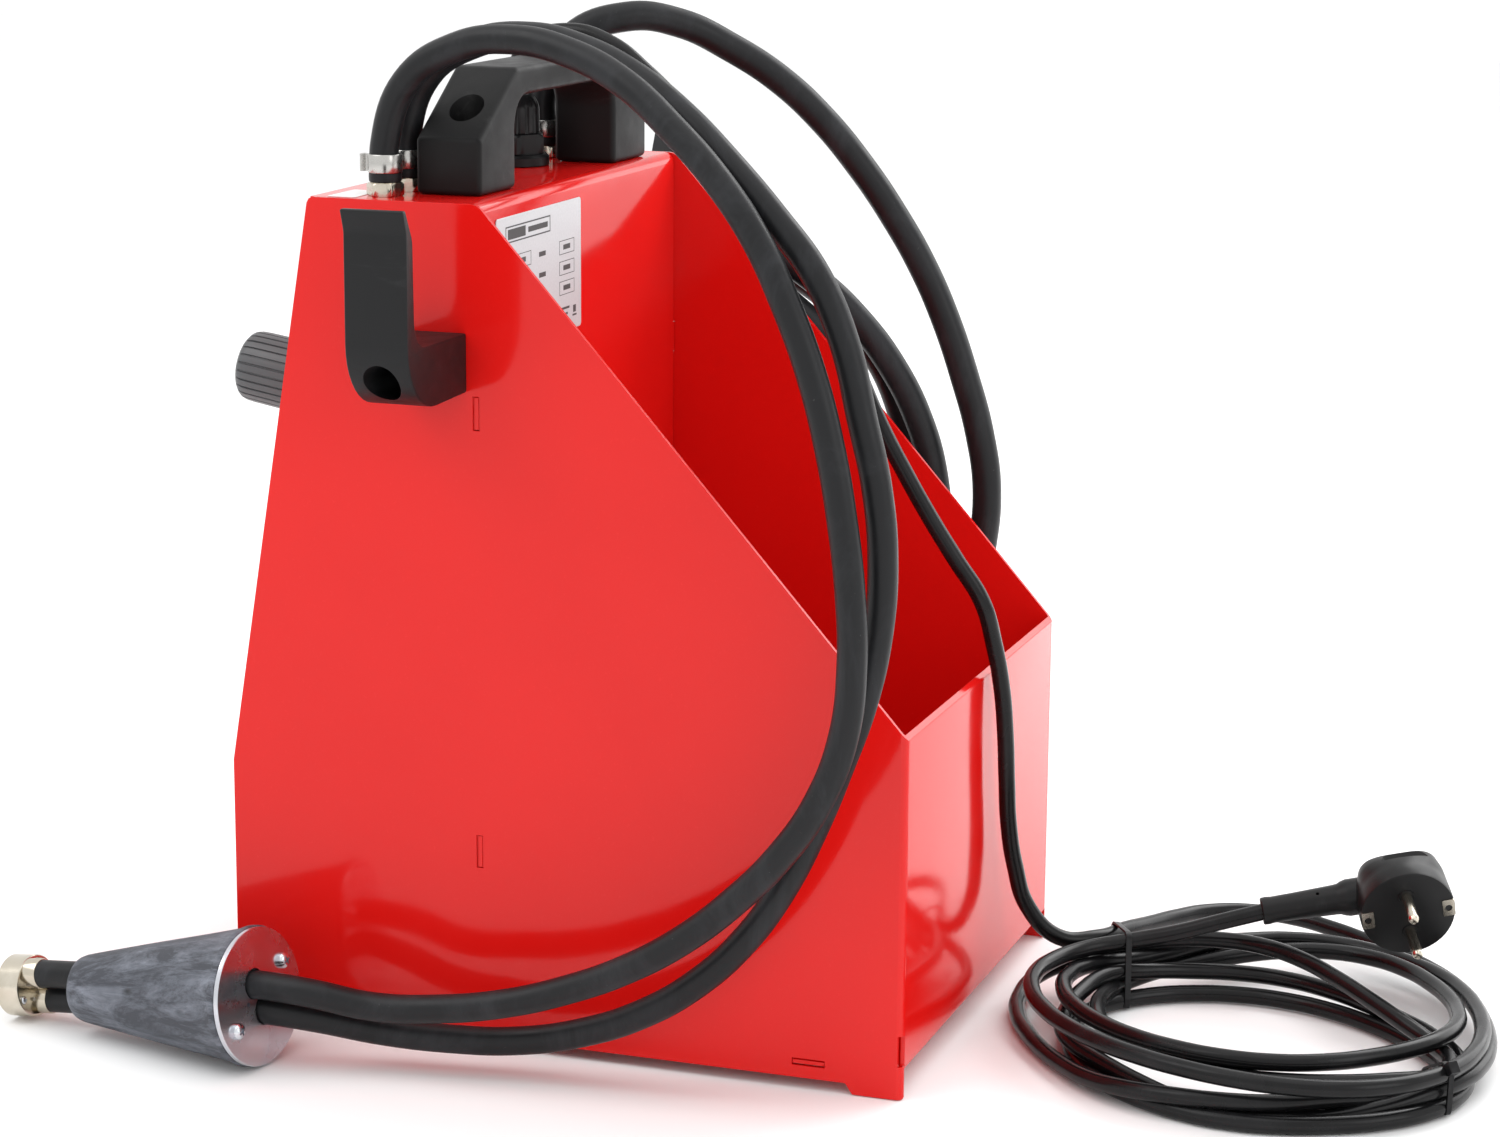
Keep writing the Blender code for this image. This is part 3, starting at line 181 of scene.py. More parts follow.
def area_light(name, place, target, size, power):
    """A soft box aimed at a point."""
    data = bpy.data.lights.new(name, "AREA")
    data.shape = "RECTANGLE"
    data.size, data.size_y = size
    data.energy = power
    made = bpy.data.objects.new(name, data)
    made.location = place
    aim = Vector(target) - Vector(place)
    made.rotation_euler = aim.to_track_quat("-Z", "Y").to_euler()
    bpy.context.scene.collection.objects.link(made)


def studio():
    """A white room: pale floor, bright surroundings and five soft boxes."""
    world = bpy.data.worlds.new("studio")
    bpy.context.scene.world = world
    world.use_nodes = True
    background = world.node_tree.nodes["Background"]
    background.inputs["Color"].default_value = (1, 1, 1, 1)
    background.inputs["Strength"].default_value = 1.07
    for name, place, target, size, power in (
        ("key", (0.9, -1.1, 1.9), (0, 0, 0.15), (1.6, 1.2), 13),
        ("top", (0.1, 0.3, 2.2), (0, 0.05, 0.2), (1.8, 1.8), 8),
        ("rear_fill", (0.8, 2.2, 1.2), (0, 0.1, 0.15), (1.2, 1.2), 7),
        ("left_box", (-2.4, 1.7, 0.95), (0, 0.17, 0.15), (2.0, 1.4), 14),
        ("left_floor", (-1.35, 0.75, 1.3), (-0.95, 0.5, 0), (1.2, 1.0), 16),
    ):
        area_light(name, place, target, size, power)
    mesh = bpy.data.meshes.new("floor")
    around = ((-1, -1), (1, -1), (1, 1), (-1, 1))
    corners = [(x * FLOOR_REACH, y * FLOOR_REACH, FLOOR_Z) for x, y in around]
    mesh.from_pydata(corners, [], [(0, 1, 2, 3)])
    floor = bpy.data.objects.new("floor", mesh)
    bpy.context.scene.collection.objects.link(floor)
    g = Graph("floor_paper")
    g.colour(g.mix(g.noise(3, 2), (0.93, 0.93, 0.93), (0.95, 0.95, 0.95)))
    g.set(Roughness=0.7, **{"Specular IOR Level": 0.2})
    mesh.materials.append(g.material)
    view = bpy.context.scene.view_settings
    view.view_transform = "Standard"
    view.look = "None"


# ---------------------------------------------------------------- material writing
class Graph:
    """Writes one procedural material."""

    def __init__(self, name):
        self.material = bpy.data.materials.new(name)
        self.material.use_nodes = True
        self.tree = self.material.node_tree
        self.shader = self.tree.nodes["Principled BSDF"]
        self.place = self.node("ShaderNodeTexCoord").outputs["Object"]

    def node(self, kind, **settings):
        made = self.tree.nodes.new(kind)
        for key, value in settings.items():
            setattr(made, key, value)
        return made

    def link(self, source, target):
        if isinstance(source, bpy.types.NodeSocket):
            self.tree.links.new(source, target)
        elif isinstance(source, tuple) and len(source) == 3 and len(target.default_value) == 4:
            target.default_value = (*source, 1)
        else:
            target.default_value = source

    def set(self, **values):
        for key, value in values.items():
            self.shader.inputs[key].default_value = value

    def colour(self, source):
        self.link(source, self.shader.inputs["Base Color"])

    def rough(self, source):
        self.link(source, self.shader.inputs["Roughness"])

    def stretched(self, scale, turn=(0, 0, 0)):
        """Object coordinates scaled unevenly."""
        mapping = self.node("ShaderNodeMapping")
        self.link(self.place, mapping.inputs["Vector"])
        mapping.inputs["Scale"].default_value = scale
        mapping.inputs["Rotation"].default_value = turn
        return mapping.outputs[0]

    def texture(self, kind, output, vector, values, **settings):
        made = self.node(kind, **settings)
        self.link(vector or self.place, made.inputs["Vector"])
        for key, value in values.items():
            made.inputs[key].default_value = value
        return made.outputs[output]

    def noise(self, scale, detail=3, roughness=0.5, vector=None, distortion=0.0):
        values = {"Scale": scale, "Detail": detail, "Roughness": roughness, "Distortion": distortion}
        return self.texture("ShaderNodeTexNoise", "Fac", vector, values)

    def cells(self, scale, vector):
        return self.texture("ShaderNodeTexVoronoi", "Distance", vector, {"Scale": scale}, feature="F1")

    def waves(self, scale, distortion, vector):
        values = {"Scale": scale, "Distortion": distortion, "Detail": 2}
        return self.texture("ShaderNodeTexWave", "Fac", vector, values, bands_direction="X")

    def ramp(self, source, low, high, start=0.0, end=1.0):
        """Maps source from low..high onto start..end, clamped."""
        made = self.node("ShaderNodeMapRange")
        self.link(source, made.inputs["Value"])
        made.inputs["From Min"].default_value = low
        made.inputs["From Max"].default_value = high
        made.inputs["To Min"].default_value = start
        made.inputs["To Max"].default_value = end
        return made.outputs["Result"]

    def mix(self, factor, a, b):
        made = self.node("ShaderNodeMix", data_type="RGBA")
        self.link(factor, made.inputs[0])
        self.link(a, made.inputs[6])
        self.link(b, made.inputs[7])
        return made.outputs[2]

    def math(self, operation, a, b=0.0):
        made = self.node("ShaderNodeMath", operation=operation)
        self.link(a, made.inputs[0])
        self.link(b, made.inputs[1])
        return made.outputs[0]

    def bump(self, *layers):
        """Adds bump layers, each (height, strength, distance)."""
        normal = None
        for height, strength, distance in layers:
            made = self.node("ShaderNodeBump")
            made.inputs["Strength"].default_value = strength
            made.inputs["Distance"].default_value = distance
            self.link(height, made.inputs["Height"])
            if normal is not None:
                self.link(normal, made.inputs["Normal"])
            normal = made.outputs[0]
        self.link(normal, self.shader.inputs["Normal"])


def red_paint():
    g = Graph("red_powder_coat")
    cloud = g.noise(9, 3)
    fleck = g.noise(700, 2, 0.6)
    base = g.mix(g.ramp(cloud, 0.35, 0.65), (0.655, 0.0070, 0.0056), (0.685, 0.0084, 0.0066))
    base = g.mix(g.ramp(fleck, 0.62, 0.85, 0, 0.25), base, (0.80, 0.030, 0.026))
    g.colour(base)
    g.rough(g.ramp(g.noise(60, 3), 0.3, 0.7, 0.085, 0.135))
    g.set(**{"Specular IOR Level": 0.34})
    g.bump((g.noise(420, 2), 0.022, 0.0005), (g.noise(60, 2), 0.007, 0.0010))
    return g.material


def moulded(name, colour, worn, rough, grain=1500.0, depth=0.16, shine=0.22):
    """Moulded plastic with a fine grain and faint scuffs."""
    g = Graph(name)
    scuff = g.noise(38, 6, 0.72, g.stretched((1, 1, 0.35)), 1.2)
    scratch = g.noise(160, 4, 0.8, g.stretched((0.25, 1, 1), (0.4, 0.2, 0.9)), 2.5)
    scuff, scratch = g.ramp(scuff, 0.60, 0.80, 0, 0.55), g.ramp(scratch, 0.72, 0.80, 0, 0.5)
    marks = g.math("MAXIMUM", scuff, scratch)
    g.colour(g.mix(marks, colour, worn))
    g.rough(g.ramp(g.noise(90, 4), 0.3, 0.7, rough - 0.05, rough + 0.07))
    g.set(**{"Specular IOR Level": shine})
    g.bump((g.noise(grain, 2, 0.6), depth, 0.0002), (g.noise(45, 2), 0.03, 0.0008))
    return g.material


def hose_rubber():
    g = Graph("hose_rubber")
    smear = g.noise(22, 6, 0.7, g.stretched((1, 1, 0.5)), 1.5)
    dust = g.noise(420, 3, 0.7)
    base = g.mix(g.ramp(smear, 0.48, 0.78, 0, 0.6), (0.0105, 0.0108, 0.0120), (0.040, 0.042, 0.047))
    base = g.mix(g.ramp(dust, 0.70, 0.80, 0, 0.6), base, (0.11, 0.11, 0.11))
    g.colour(base)
    g.rough(g.ramp(smear, 0.35, 0.7, 0.33, 0.52))
    g.set(**{"Specular IOR Level": 0.23})
    g.bump((g.noise(600, 3), 0.06, 0.0003), (g.noise(60, 3, 0.6), 0.05, 0.001))
    return g.material


def lead_sheath():
    g = Graph("pvc_sheath")
    haze = g.noise(26, 5, 0.6, None, 0.8)
    g.colour(g.mix(g.ramp(haze, 0.45, 0.75), (0.0052, 0.0052, 0.0056), (0.012, 0.012, 0.013)))
    g.rough(g.ramp(g.noise(50, 3), 0.3, 0.7, 0.20, 0.29))
    g.set(**{"Specular IOR Level": 0.22})
    g.bump((g.noise(380, 3), 0.012, 0.0002), (g.noise(70, 2), 0.006, 0.0008))
    return g.material


def cone_rubber():
    """Dark blue-grey moulded rubber, chalky where it has been handled, with small nicks."""
    g = Graph("cone_rubber")
    along = g.stretched((1, 1, 0.22))
    chalk = g.noise(95, 8, 0.78, along, 0.5)
    cloud = g.noise(26, 4, 0.6, None, 0.6)
    smudge = g.math("MULTIPLY", g.ramp(chalk, 0.44, 0.64), g.ramp(cloud, 0.28, 0.60, 0.25, 1.0))
    base = g.mix(g.ramp(smudge, 0.0, 1.0), (0.038, 0.042, 0.054), (0.205, 0.222, 0.262))
    # Nicks are real dents in the bump that break through the chalk; their near-black colour, darker
    # than the bare rubber, is painted shade inside them.
    nick = g.ramp(g.cells(110, g.stretched((1, 1, 0.45), (0.3, 0.5, 0.1))), 0.0, 0.20, 1.0, 0.0)
    rare = g.ramp(g.noise(60, 2), 0.52, 0.60)
    nick = g.math("MULTIPLY", nick, rare)
    g.colour(g.mix(nick, base, (0.012, 0.013, 0.016)))
    g.rough(g.ramp(chalk, 0.3, 0.7, 0.50, 0.78))
    g.bump((nick, 0.8, -0.0010), (g.noise(300, 4, 0.6, along), 0.22, 0.0006), (chalk, 0.12, 0.0012))
    return g.material


def plated(name, tints, rough, brushed=None, spots=0.0, grain=0.05):
    """Bright metal with slight tints, brushing and a few dull spots."""
    g = Graph(name)
    g.set(Metallic=1.0)
    first = g.mix(g.ramp(g.noise(55, 3, 0.6), 0.35, 0.65), tints[0], tints[1])
    colour = g.mix(g.ramp(g.noise(34, 3, 0.5, None, 0.7), 0.40, 0.68), first, tints[2])
    if spots:
        dull = g.ramp(g.noise(260, 4, 0.7), 0.62, 0.75, 0, spots)
        colour = g.mix(dull, colour, (0.30, 0.27, 0.22))
    g.colour(colour)
    haze = g.noise(240 if grain > 0.02 else 45, 5, 0.6)
    g.rough(g.ramp(haze, 0.3, 0.7, rough - 0.07, rough + 0.09))
    vector = g.stretched(brushed) if brushed else None
    g.bump((g.noise(500, 3, 0.6, vector), grain, 0.0003))
    return g.material


def satin_foil():
    g = Graph("label_foil")
    brush = g.noise(900, 3, 0.6, g.stretched((1, 1, 0.02)))
    g.colour(g.mix(g.ramp(brush, 0.3, 0.7), (0.56, 0.57, 0.59), (0.64, 0.65, 0.67)))
    g.set(Metallic=0.35)
    g.rough(g.ramp(brush, 0.3, 0.7, 0.30, 0.42))
    g.bump((brush, 0.04, 0.0001))
    return g.material


def plain(name, colour, other, rough, scale=120, depth=0.05, **values):
    """A two-tone noisy surface for small and inner pieces."""
    g = Graph(name)
    cloud = g.noise(scale, 4, 0.6)
    g.colour(g.mix(g.ramp(cloud, 0.35, 0.65), colour, other))
    g.rough(g.ramp(cloud, 0.3, 0.7, max(0.02, rough - 0.05), rough + 0.06))
    g.bump((g.noise(scale * 4, 3), depth, 0.0003))
    g.set(**values)
    return g.material


def winding():
    """Lacquered copper wire laid round a laminated core."""
    g = Graph("copper_winding")
    wire = g.waves(260, 1.5, g.stretched((1, 1, 1), (0.6, 0.2, 0.3)))
    # Painted shade and highlight: the colour follows the turns' bump, darker copper in the grooves
    # between turns and lighter copper on their crests.
    g.colour(g.mix(g.ramp(wire, 0.2, 0.8), (0.20, 0.07, 0.025), (0.62, 0.27, 0.11)))
    g.set(Metallic=0.85)
    g.rough(g.ramp(wire, 0.2, 0.8, 0.28, 0.42))
    g.bump((wire, 0.5, 0.0006))
    return g.material


def clear_glass():
    g = Graph("gauge_lens")
    g.colour(g.mix(g.ramp(g.noise(40, 2), 0.4, 0.6), (0.97, 0.99, 1.0), (0.99, 1.0, 1.0)))
    g.rough(g.ramp(g.noise(90, 3), 0.3, 0.7, 0.01, 0.04))
    g.set(**{"Transmission Weight": 1.0, "IOR": 1.49})
    g.bump((g.noise(30, 2), 0.01, 0.0005))
    return g.material


LOOK = {
    "red": red_paint(),
    "handle": moulded(
        "handle_plastic", (0.0105, 0.0103, 0.0106), (0.060, 0.060, 0.060), 0.46, 1700, 0.22,
        0.16,
    ),
    "hook": moulded(
        "hook_plastic", (0.0100, 0.0102, 0.0110), (0.034, 0.035, 0.037), 0.42, 1500, 0.12,
    ),
    "knob": moulded(
        "knob_plastic", (0.075, 0.078, 0.082), (0.130, 0.133, 0.138), 0.40, 1300, 0.10, 0.5,
    ),
    "black": moulded(
        "black_plastic", (0.0090, 0.0090, 0.0095), (0.030, 0.030, 0.031), 0.33, 1200, 0.08,
    ),
    "plug": moulded("plug_vinyl", (0.0080, 0.0080, 0.0084), (0.032, 0.032, 0.033), 0.36, 900, 0.10),
    "hose": hose_rubber(),
    "sheath": lead_sheath(),
    "cone": cone_rubber(),
    "zinc": plated(
        "zinc_plate", ((0.60, 0.60, 0.62), (0.67, 0.62, 0.67), (0.57, 0.61, 0.66)), 0.24, None,
        0.05, 0.010,
    ),
    "screw": plated(
        "screw_zinc", ((0.66, 0.68, 0.72), (0.72, 0.74, 0.76), (0.60, 0.64, 0.70)), 0.20,
    ),
    "steel": plated(
        "stainless", ((0.50, 0.49, 0.47), (0.58, 0.57, 0.54), (0.45, 0.44, 0.42)), 0.26,
        (0.1, 0.1, 1), 0.1, 0.03,
    ),
    "nickel": plated(
        "nickel", ((0.60, 0.55, 0.46), (0.67, 0.62, 0.53), (0.53, 0.48, 0.39)), 0.20, None,
        0.35, 0.02,
    ),
    "brass": plated("brass", ((0.62, 0.44, 0.19), (0.70, 0.51, 0.25), (0.56, 0.40, 0.18)), 0.26),
    "alloy": plated(
        "cast_alloy", ((0.56, 0.57, 0.58), (0.62, 0.63, 0.64), (0.50, 0.51, 0.53)), 0.42, None,
        0.1,
    ),
    "foil": satin_foil(),
    "ink": plain("label_ink", (0.020, 0.020, 0.022), (0.035, 0.035, 0.037), 0.45),
    "paper": plain("white_sticker", (0.78, 0.78, 0.77), (0.84, 0.84, 0.83), 0.45),
    "dial": plain("dial_card", (0.80, 0.80, 0.78), (0.84, 0.84, 0.82), 0.42),
    "needle": plain("needle_paint", (0.012, 0.012, 0.012), (0.022, 0.022, 0.022), 0.35),
    "lens": clear_glass(),
    "nylon": plain(
        "nylon_pipe", (0.62, 0.61, 0.55), (0.70, 0.69, 0.63), 0.36, 90, 0.05,
        **{"Subsurface Weight": 0.1},
    ),
    "winding": winding(),
    "tie": plain(
        "tie_nylon", (0.004, 0.004, 0.0045), (0.010, 0.010, 0.011), 0.34, 300, 0.06,
        **{"Specular IOR Level": 0.2},
    ),
}


# ---------------------------------------------------------------- mesh writing
def mm(*points):
    """Points given in millimetres, in metres."""
    return [tuple(value / 1000 for value in point) for point in points]


def frame_at(origin, z_axis, x_axis=(1, 0, 0)):
    """A placement with its local Z along z_axis and its local X as near x_axis as it can be."""
    z = Vector(z_axis).normalized()
    x = Vector(x_axis)
    x = (x - x.dot(z) * z).normalized()
    rotation = Matrix((x, z.cross(x), z)).transposed().to_4x4()
    return Matrix.Translation(Vector(origin)) @ rotation


PANEL_OUT = Vector((0, -cos(LEAN), sin(LEAN)))
PANEL_UP = Vector((0, sin(LEAN), cos(LEAN)))


def on_panel(x, rise):
    """A placement on the leaning panel: local X right, local Y up, local Z out."""
    return frame_at(Vector((x, FRONT, KINK)) + rise * PANEL_UP, PANEL_OUT, (1, 0, 0))


def on_top(x, y=FITTING_Y):
    """A placement on the tower's top."""
    return frame_at((x, y, HEIGHT), (0, 0, 1))


SIDE_VIEW = frame_at((0, 0, 0), (1, 0, 0), (0, 1, 0))
FRONT_VIEW = frame_at((0, 0, 0), (0, -1, 0), (1, 0, 0))


def keep(name, bm, place, look, angle=35):
    """Turns a bmesh into an object with one material."""
    bmesh.ops.recalc_face_normals(bm, faces=bm.faces)
    mesh = bpy.data.meshes.new(name)
    bm.to_mesh(mesh)
    bm.free()
    mesh.shade_smooth()
    mesh.set_sharp_from_angle(angle=radians(angle))
    made = bpy.data.objects.new(name, mesh)
    bpy.context.scene.collection.objects.link(made)
    made.matrix_world = place
    if look:
        mesh.materials.append(LOOK[look])
    return made


def turned(name, profile, place, look, steps=64, ring=False, shape=None):
    """A turned piece; shape(angle, height) may scale each point's radius."""
    bm = bmesh.new()
    rows = []
    for radius, height in profile:
        angles = [0] if radius == 0 else [2 * pi * i / steps for i in range(steps)]
        row = []
        for a in angles:
            r = radius * (shape(a, height) if shape else 1)
            row.append(bm.verts.new((r * cos(a), r * sin(a), height)))
        rows.append(row)
    for low, high in zip(rows, rows[1:] + (rows[:1] if ring else [])):
        for i in range(steps):
            j = i + 1
            corners = [row[k % len(row)] for row, k in ((low, i), (low, j), (high, j), (high, i))]
            bm.faces.new(list(dict.fromkeys(corners)))
    return keep(name, bm, place, look)


def prism(name, outline, low, high, place, look, angle=35):
    """An outline in local X, Y, extruded along local Z."""
    bm = bmesh.new()
    bottom = [bm.verts.new((x, y, low)) for x, y in outline]
    top = [bm.verts.new((x, y, high)) for x, y in outline]
    bm.faces.new(bottom)
    bm.faces.new(top)
    for i in range(len(outline)):
        j = (i + 1) % len(outline)
        bm.faces.new([bottom[i], bottom[j], top[j], top[i]])
    return keep(name, bm, place, look, angle)


def ring_prism(name, inner, outer, low, high, place, look):
    """A band between two matching outlines, extruded along local Z."""
    bm = bmesh.new()
    rows = []
    for outline, height in ((outer, low), (outer, high), (inner, high), (inner, low)):
        rows.append([bm.verts.new((x, y, height)) for x, y in outline])
    for row, following in zip(rows, rows[1:] + rows[:1]):
        for i in range(len(row)):
            j = (i + 1) % len(row)
            bm.faces.new([row[i], row[j], following[j], following[i]])
    return keep(name, bm, place, look)


def rounded(corners, steps=8):
    """An outline whose corners, given as (x, y, radius), are turned into arcs."""
    outline = []
    for i, (x, y, radius) in enumerate(corners):
        here = Vector((x, y))
        if radius == 0:
            outline.append((x, y))
            continue
        before = (Vector(corners[i - 1][:2]) - here).normalized()
        after = (Vector(corners[(i + 1) % len(corners)][:2]) - here).normalized()
        half = before.angle(after) / 2
        reach = radius / np.tan(half)
        centre = here + (before + after).normalized() * radius / sin(half)
        start = here + before * reach - centre
        end = here + after * reach - centre
        sweep = start.angle_signed(end)
        for k in range(steps + 1):
            point = centre + Matrix.Rotation(-sweep * k / steps, 2) @ start
            outline.append((point.x, point.y))
    return outline


def box_outline(x0, y0, x1, y1, radius=0.0):
    corners = ((x0, y0), (x1, y0), (x1, y1), (x0, y1))
    return rounded([(x, y, radius) for x, y in corners], 4)


def bake(made):
    """Applies a piece's modifiers to its mesh."""
    graph = bpy.context.evaluated_depsgraph_get()
    mesh = bpy.data.meshes.new_from_object(made.evaluated_get(graph))
    made.modifiers.clear()
    made.data = mesh
    return made


def combine(made, operation, *tools):
    """Cuts tools out of a piece or joins them to it, then removes them."""
    for tool in tools:
        modifier = made.modifiers.new(operation, "BOOLEAN")
        modifier.operation = operation
        modifier.solver = "EXACT"
        modifier.object = tool
    bpy.context.view_layer.update()
    bake(made)
    for tool in tools:
        bpy.data.objects.remove(tool)
    made.data.shade_smooth()
    made.data.set_sharp_from_angle(angle=SHARP)
    return made


def soften(made, width, segments=3, angle=30):
    """Rounds a piece's sharp edges."""
    modifier = made.modifiers.new("edges", "BEVEL")
    modifier.width = width
    modifier.segments = segments
    modifier.limit_method = "ANGLE"
    modifier.angle_limit = radians(angle)
    modifier.harden_normals = False
    return made


def settle(made, slot, *nodes, body=UNIT):
    """A finished piece rides on its body and stands for its nodes; its slot is not used."""
    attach(made, body)
    if nodes:
        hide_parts(*nodes)
    return made


# ---------------------------------------------------------------- cords
def smooth_route(points, spacing):
    """Evenly spaced points on the natural cubic spline through a route's own points."""
    p = np.array(points, float)
    t = np.concatenate([[0], np.cumsum(np.linalg.norm(np.diff(p, axis=0), axis=1))])
    n = len(p)
    h = np.diff(t)
    system = np.eye(n)
    right = np.zeros((n, 3))
    for i in range(1, n - 1):
        system[i, i - 1:i + 2] = (h[i - 1], 2 * (h[i - 1] + h[i]), h[i])
        right[i] = 6 * ((p[i + 1] - p[i]) / h[i] - (p[i] - p[i - 1]) / h[i - 1])
    bend = np.linalg.solve(system, right)
    fine = []
    for i in range(n - 1):
        for u in np.linspace(0, h[i], 40, endpoint=False):
            w = h[i] - u
            curved = (bend[i] * w ** 3 + bend[i + 1] * u ** 3) / (6 * h[i])
            near = (p[i] / h[i] - bend[i] * h[i] / 6) * w
            far = (p[i + 1] / h[i] - bend[i + 1] * h[i] / 6) * u
            fine.append(curved + near + far)
    fine = np.array(fine + [p[-1]])
    along = np.concatenate([[0], np.cumsum(np.linalg.norm(np.diff(fine, axis=0), axis=1))])
    stops = np.linspace(0, along[-1], max(2, round(along[-1] / spacing) + 1))
    return [tuple(np.interp(s, along, fine[:, k]) for k in range(3)) for s in stops]


def cord_curve(name, points, radius, look):
    """A round cord as one open Bezier curve."""
    curve = bpy.data.curves.new(name, "CURVE")
    curve.dimensions = "3D"
    curve.bevel_depth = radius
    curve.bevel_resolution = 6
    curve.resolution_u = 8
    curve.use_fill_caps = True
    spline = curve.splines.new("BEZIER")
    spline.bezier_points.add(len(points) - 1)
    for place, point in zip(spline.bezier_points, points):
        place.co = point
        place.handle_left_type = place.handle_right_type = "AUTO"
    curve.materials.append(LOOK[look])
    made = bpy.data.objects.new(name, curve)
    bpy.context.scene.collection.objects.link(made)
    return made


def cone_frame():
    """The cone's placement: local Z from the disc to the tip."""
    tilt = asin((CONE_R - HEAD_R) / HEAD_TO)
    towards = Vector((sin(CONE_YAW) * cos(tilt), cos(CONE_YAW) * cos(tilt), sin(tilt)))
    return frame_at(CONE_DISC, -towards, (0, 0, 1))


CONE = cone_frame()


def hose_line(sign):
    """A hose's straight run through the cone, beside its axis."""
    across = Matrix.Rotation(radians(-21), 4, "Z") @ Vector((HOSE_SPREAD * sign, 0, 0))
    return CONE @ Matrix.Translation(across)


def hose_to_cone(name, route, sign):
    line = hose_line(sign)
    stops = (-0.012, 0.0, 0.03, 0.08, HEAD_FROM - GAP)
    ends = [tuple(line @ Vector((0, 0, along))) for along in stops]
    points = [route[0]] + smooth_route(route[1:] + ends, 0.030)
    return cord_curve(name, points, HOSE_R, "hose")


def free_cords():
    """Both cone hoses, the pressure hose with its turns, and the mains lead with its turns."""
    made = {}
    hoses = (("suction_hose", SUCTION_ROUTE, 1), ("return_hose", RETURN_ROUTE, -1))
    for name, way, sign in hoses:
        hose = hose_to_cone(name + "_run", way, sign)
        settle(hose, "rubber", name)
        made[name] = hose
    points = [PRESSURE_ROUTE[0]] + smooth_route(PRESSURE_ROUTE[1:] + HOSE_TURNS, 0.028)
    made["pressure"] = cord_curve("pressure_hose_run", points, BLEEDER_R, "hose")
    settle(made["pressure"], "rubber", "bleeder_hose", "bleeder_coil")
    end = PLUG_FACE - PLUG_LEAD_DEPTH * PLUG_PINS + (RELIEF_END - 0.004) * PLUG_LEAD
    points = [LEAD_ROUTE[0]] + smooth_route(LEAD_ROUTE[1:] + LEAD_TURNS + [tuple(end)], 0.022)
    made["lead"] = cord_curve("mains_lead_run", points, MAINS_R, "sheath")
    settle(made["lead"], "cable_pvc", "mains_cable", "mains_coil", "plug_lead")
    return made


# ---------------------------------------------------------------- sheet metal
def sheet_metal():
    """The sheets keep their own shapes, with merged faces and softened edges."""
    for node in ("body_shell", "tower_shell", "front_panel", "base_plate"):
        bm = bmesh.new()
        bm.from_mesh(NODES[node].data)
        bmesh.ops.remove_doubles(bm, verts=bm.verts, dist=2e-6)
        bmesh.ops.dissolve_limit(bm, angle_limit=radians(0.6), verts=bm.verts, edges=bm.edges)
        made = soften(keep(node + "_skin", bm, Matrix.Identity(4), "red", 30), EDGE, 2)
        made.modifiers["edges"].harden_normals = True
        settle(made, "red_paint", node)


def slot_backs():
    """Thin red backs in the side walls' tab slots, a little below their outer faces."""
    for side, sign in (("right", 1), ("left", -1)):
        place = frame_at((sign * (HALF - 0.0021), 0, 0), (sign, 0, 0), (0, 1, 0))
        boxes = []
        for z in (sign * 0.0891, sign * 0.2815):
            for y0, y1 in ((-0.0001, 0.0005), (-0.0025, -0.0021)):
                boxes.append((TOWER_BACK + y0, z - 0.0072, TOWER_BACK + y1, z + 0.0072))
        settle(bars(f"slot_backs_{side}", boxes, place, 0.0, 0.0014, "red"), "red_paint")


def bars(name, boxes, place, low, high, look):
    """Flat printed blocks, given as (x0, y0, x1, y1), as one piece."""
    bm = bmesh.new()
    for x0, y0, x1, y1 in boxes:
        corners = [(x0, y0), (x1, y0), (x1, y1), (x0, y1)]
        bottom = [bm.verts.new((x, y, low)) for x, y in corners]
        top = [bm.verts.new((x, y, high)) for x, y in corners]
        bm.faces.new(bottom)
        bm.faces.new(top)
        for i in range(4):
            j = (i + 1) % 4
            bm.faces.new([bottom[i], bottom[j], top[j], top[i]])
    return keep(name, bm, place, look)


def frame_boxes(x0, y0, x1, y1, line):
    """Four thin blocks round a rectangle."""
    return [
        (x0, y0, x1, y0 + line), (x0, y1 - line, x1, y1), (x0, y0 + line, x0 + line, y1 - line),
        (x1 - line, y0 + line, x1, y1 - line),
    ]


def rating_plate():
    """A silver foil plate with rounded corners and generic ruled fields."""
    place = frame_at((0, TOWER_BACK, 0), (0, 1, 0), (-1, 0, 0))
    foil = prism(
        "rating_foil", box_outline(-0.100, 0.3036, -0.004, 0.3615, 0.0018), 0.00012, 0.0006,
        place, "foil",
    )
    settle(soften(foil, 0.00012, 2), "label_silver", "rating_label")
    boxes = frame_boxes(-0.0900, 0.3500, -0.0400, 0.3572, 0.0006)
    boxes += [(-0.0875, 0.3514, -0.0680, 0.3558), (-0.0650, 0.3524, -0.0430, 0.3548)]
    for z in (0.3381, 0.3289, 0.3200):
        boxes += frame_boxes(-0.0296, z, -0.0122, z + 0.0062, 0.0003)
        boxes += [(-0.0250, z + 0.0020, -0.0170, z + 0.0042)]
        boxes += [(-0.0530, z + 0.0021, -0.0455, z + 0.0042)]
        boxes += frame_boxes(-0.0820, z, -0.0620, z + 0.0062, 0.0003)
        boxes += [(-0.0775, z + 0.0020, -0.0680, z + 0.0042)]
    boxes += [(-0.0900, 0.3132, -0.0420, 0.3142), (-0.0900, 0.3104, -0.0480, 0.3114)]
    boxes += [(-0.0290, 0.3134, -0.0180, 0.3144), (-0.0290, 0.3108, -0.0200, 0.3118)]
    boxes += [(-0.0136, 0.3108, -0.0104, 0.3140), (-0.0144, 0.3092, -0.0096, 0.3100)]
    ink = bars("rating_print", boxes, place, 0.00055, 0.00066, "ink")
    settle(ink, "needle_black")
    sticker = prism(
        "top_sticker", box_outline(-0.0135, -0.0080, 0.0135, 0.0050, 0.0012), 0.00004, 0.0002,
        frame_at((0.1020, -0.0910, HEIGHT), (0, 0, 1)), "paper",
    )
    settle(sticker, "label_silver")


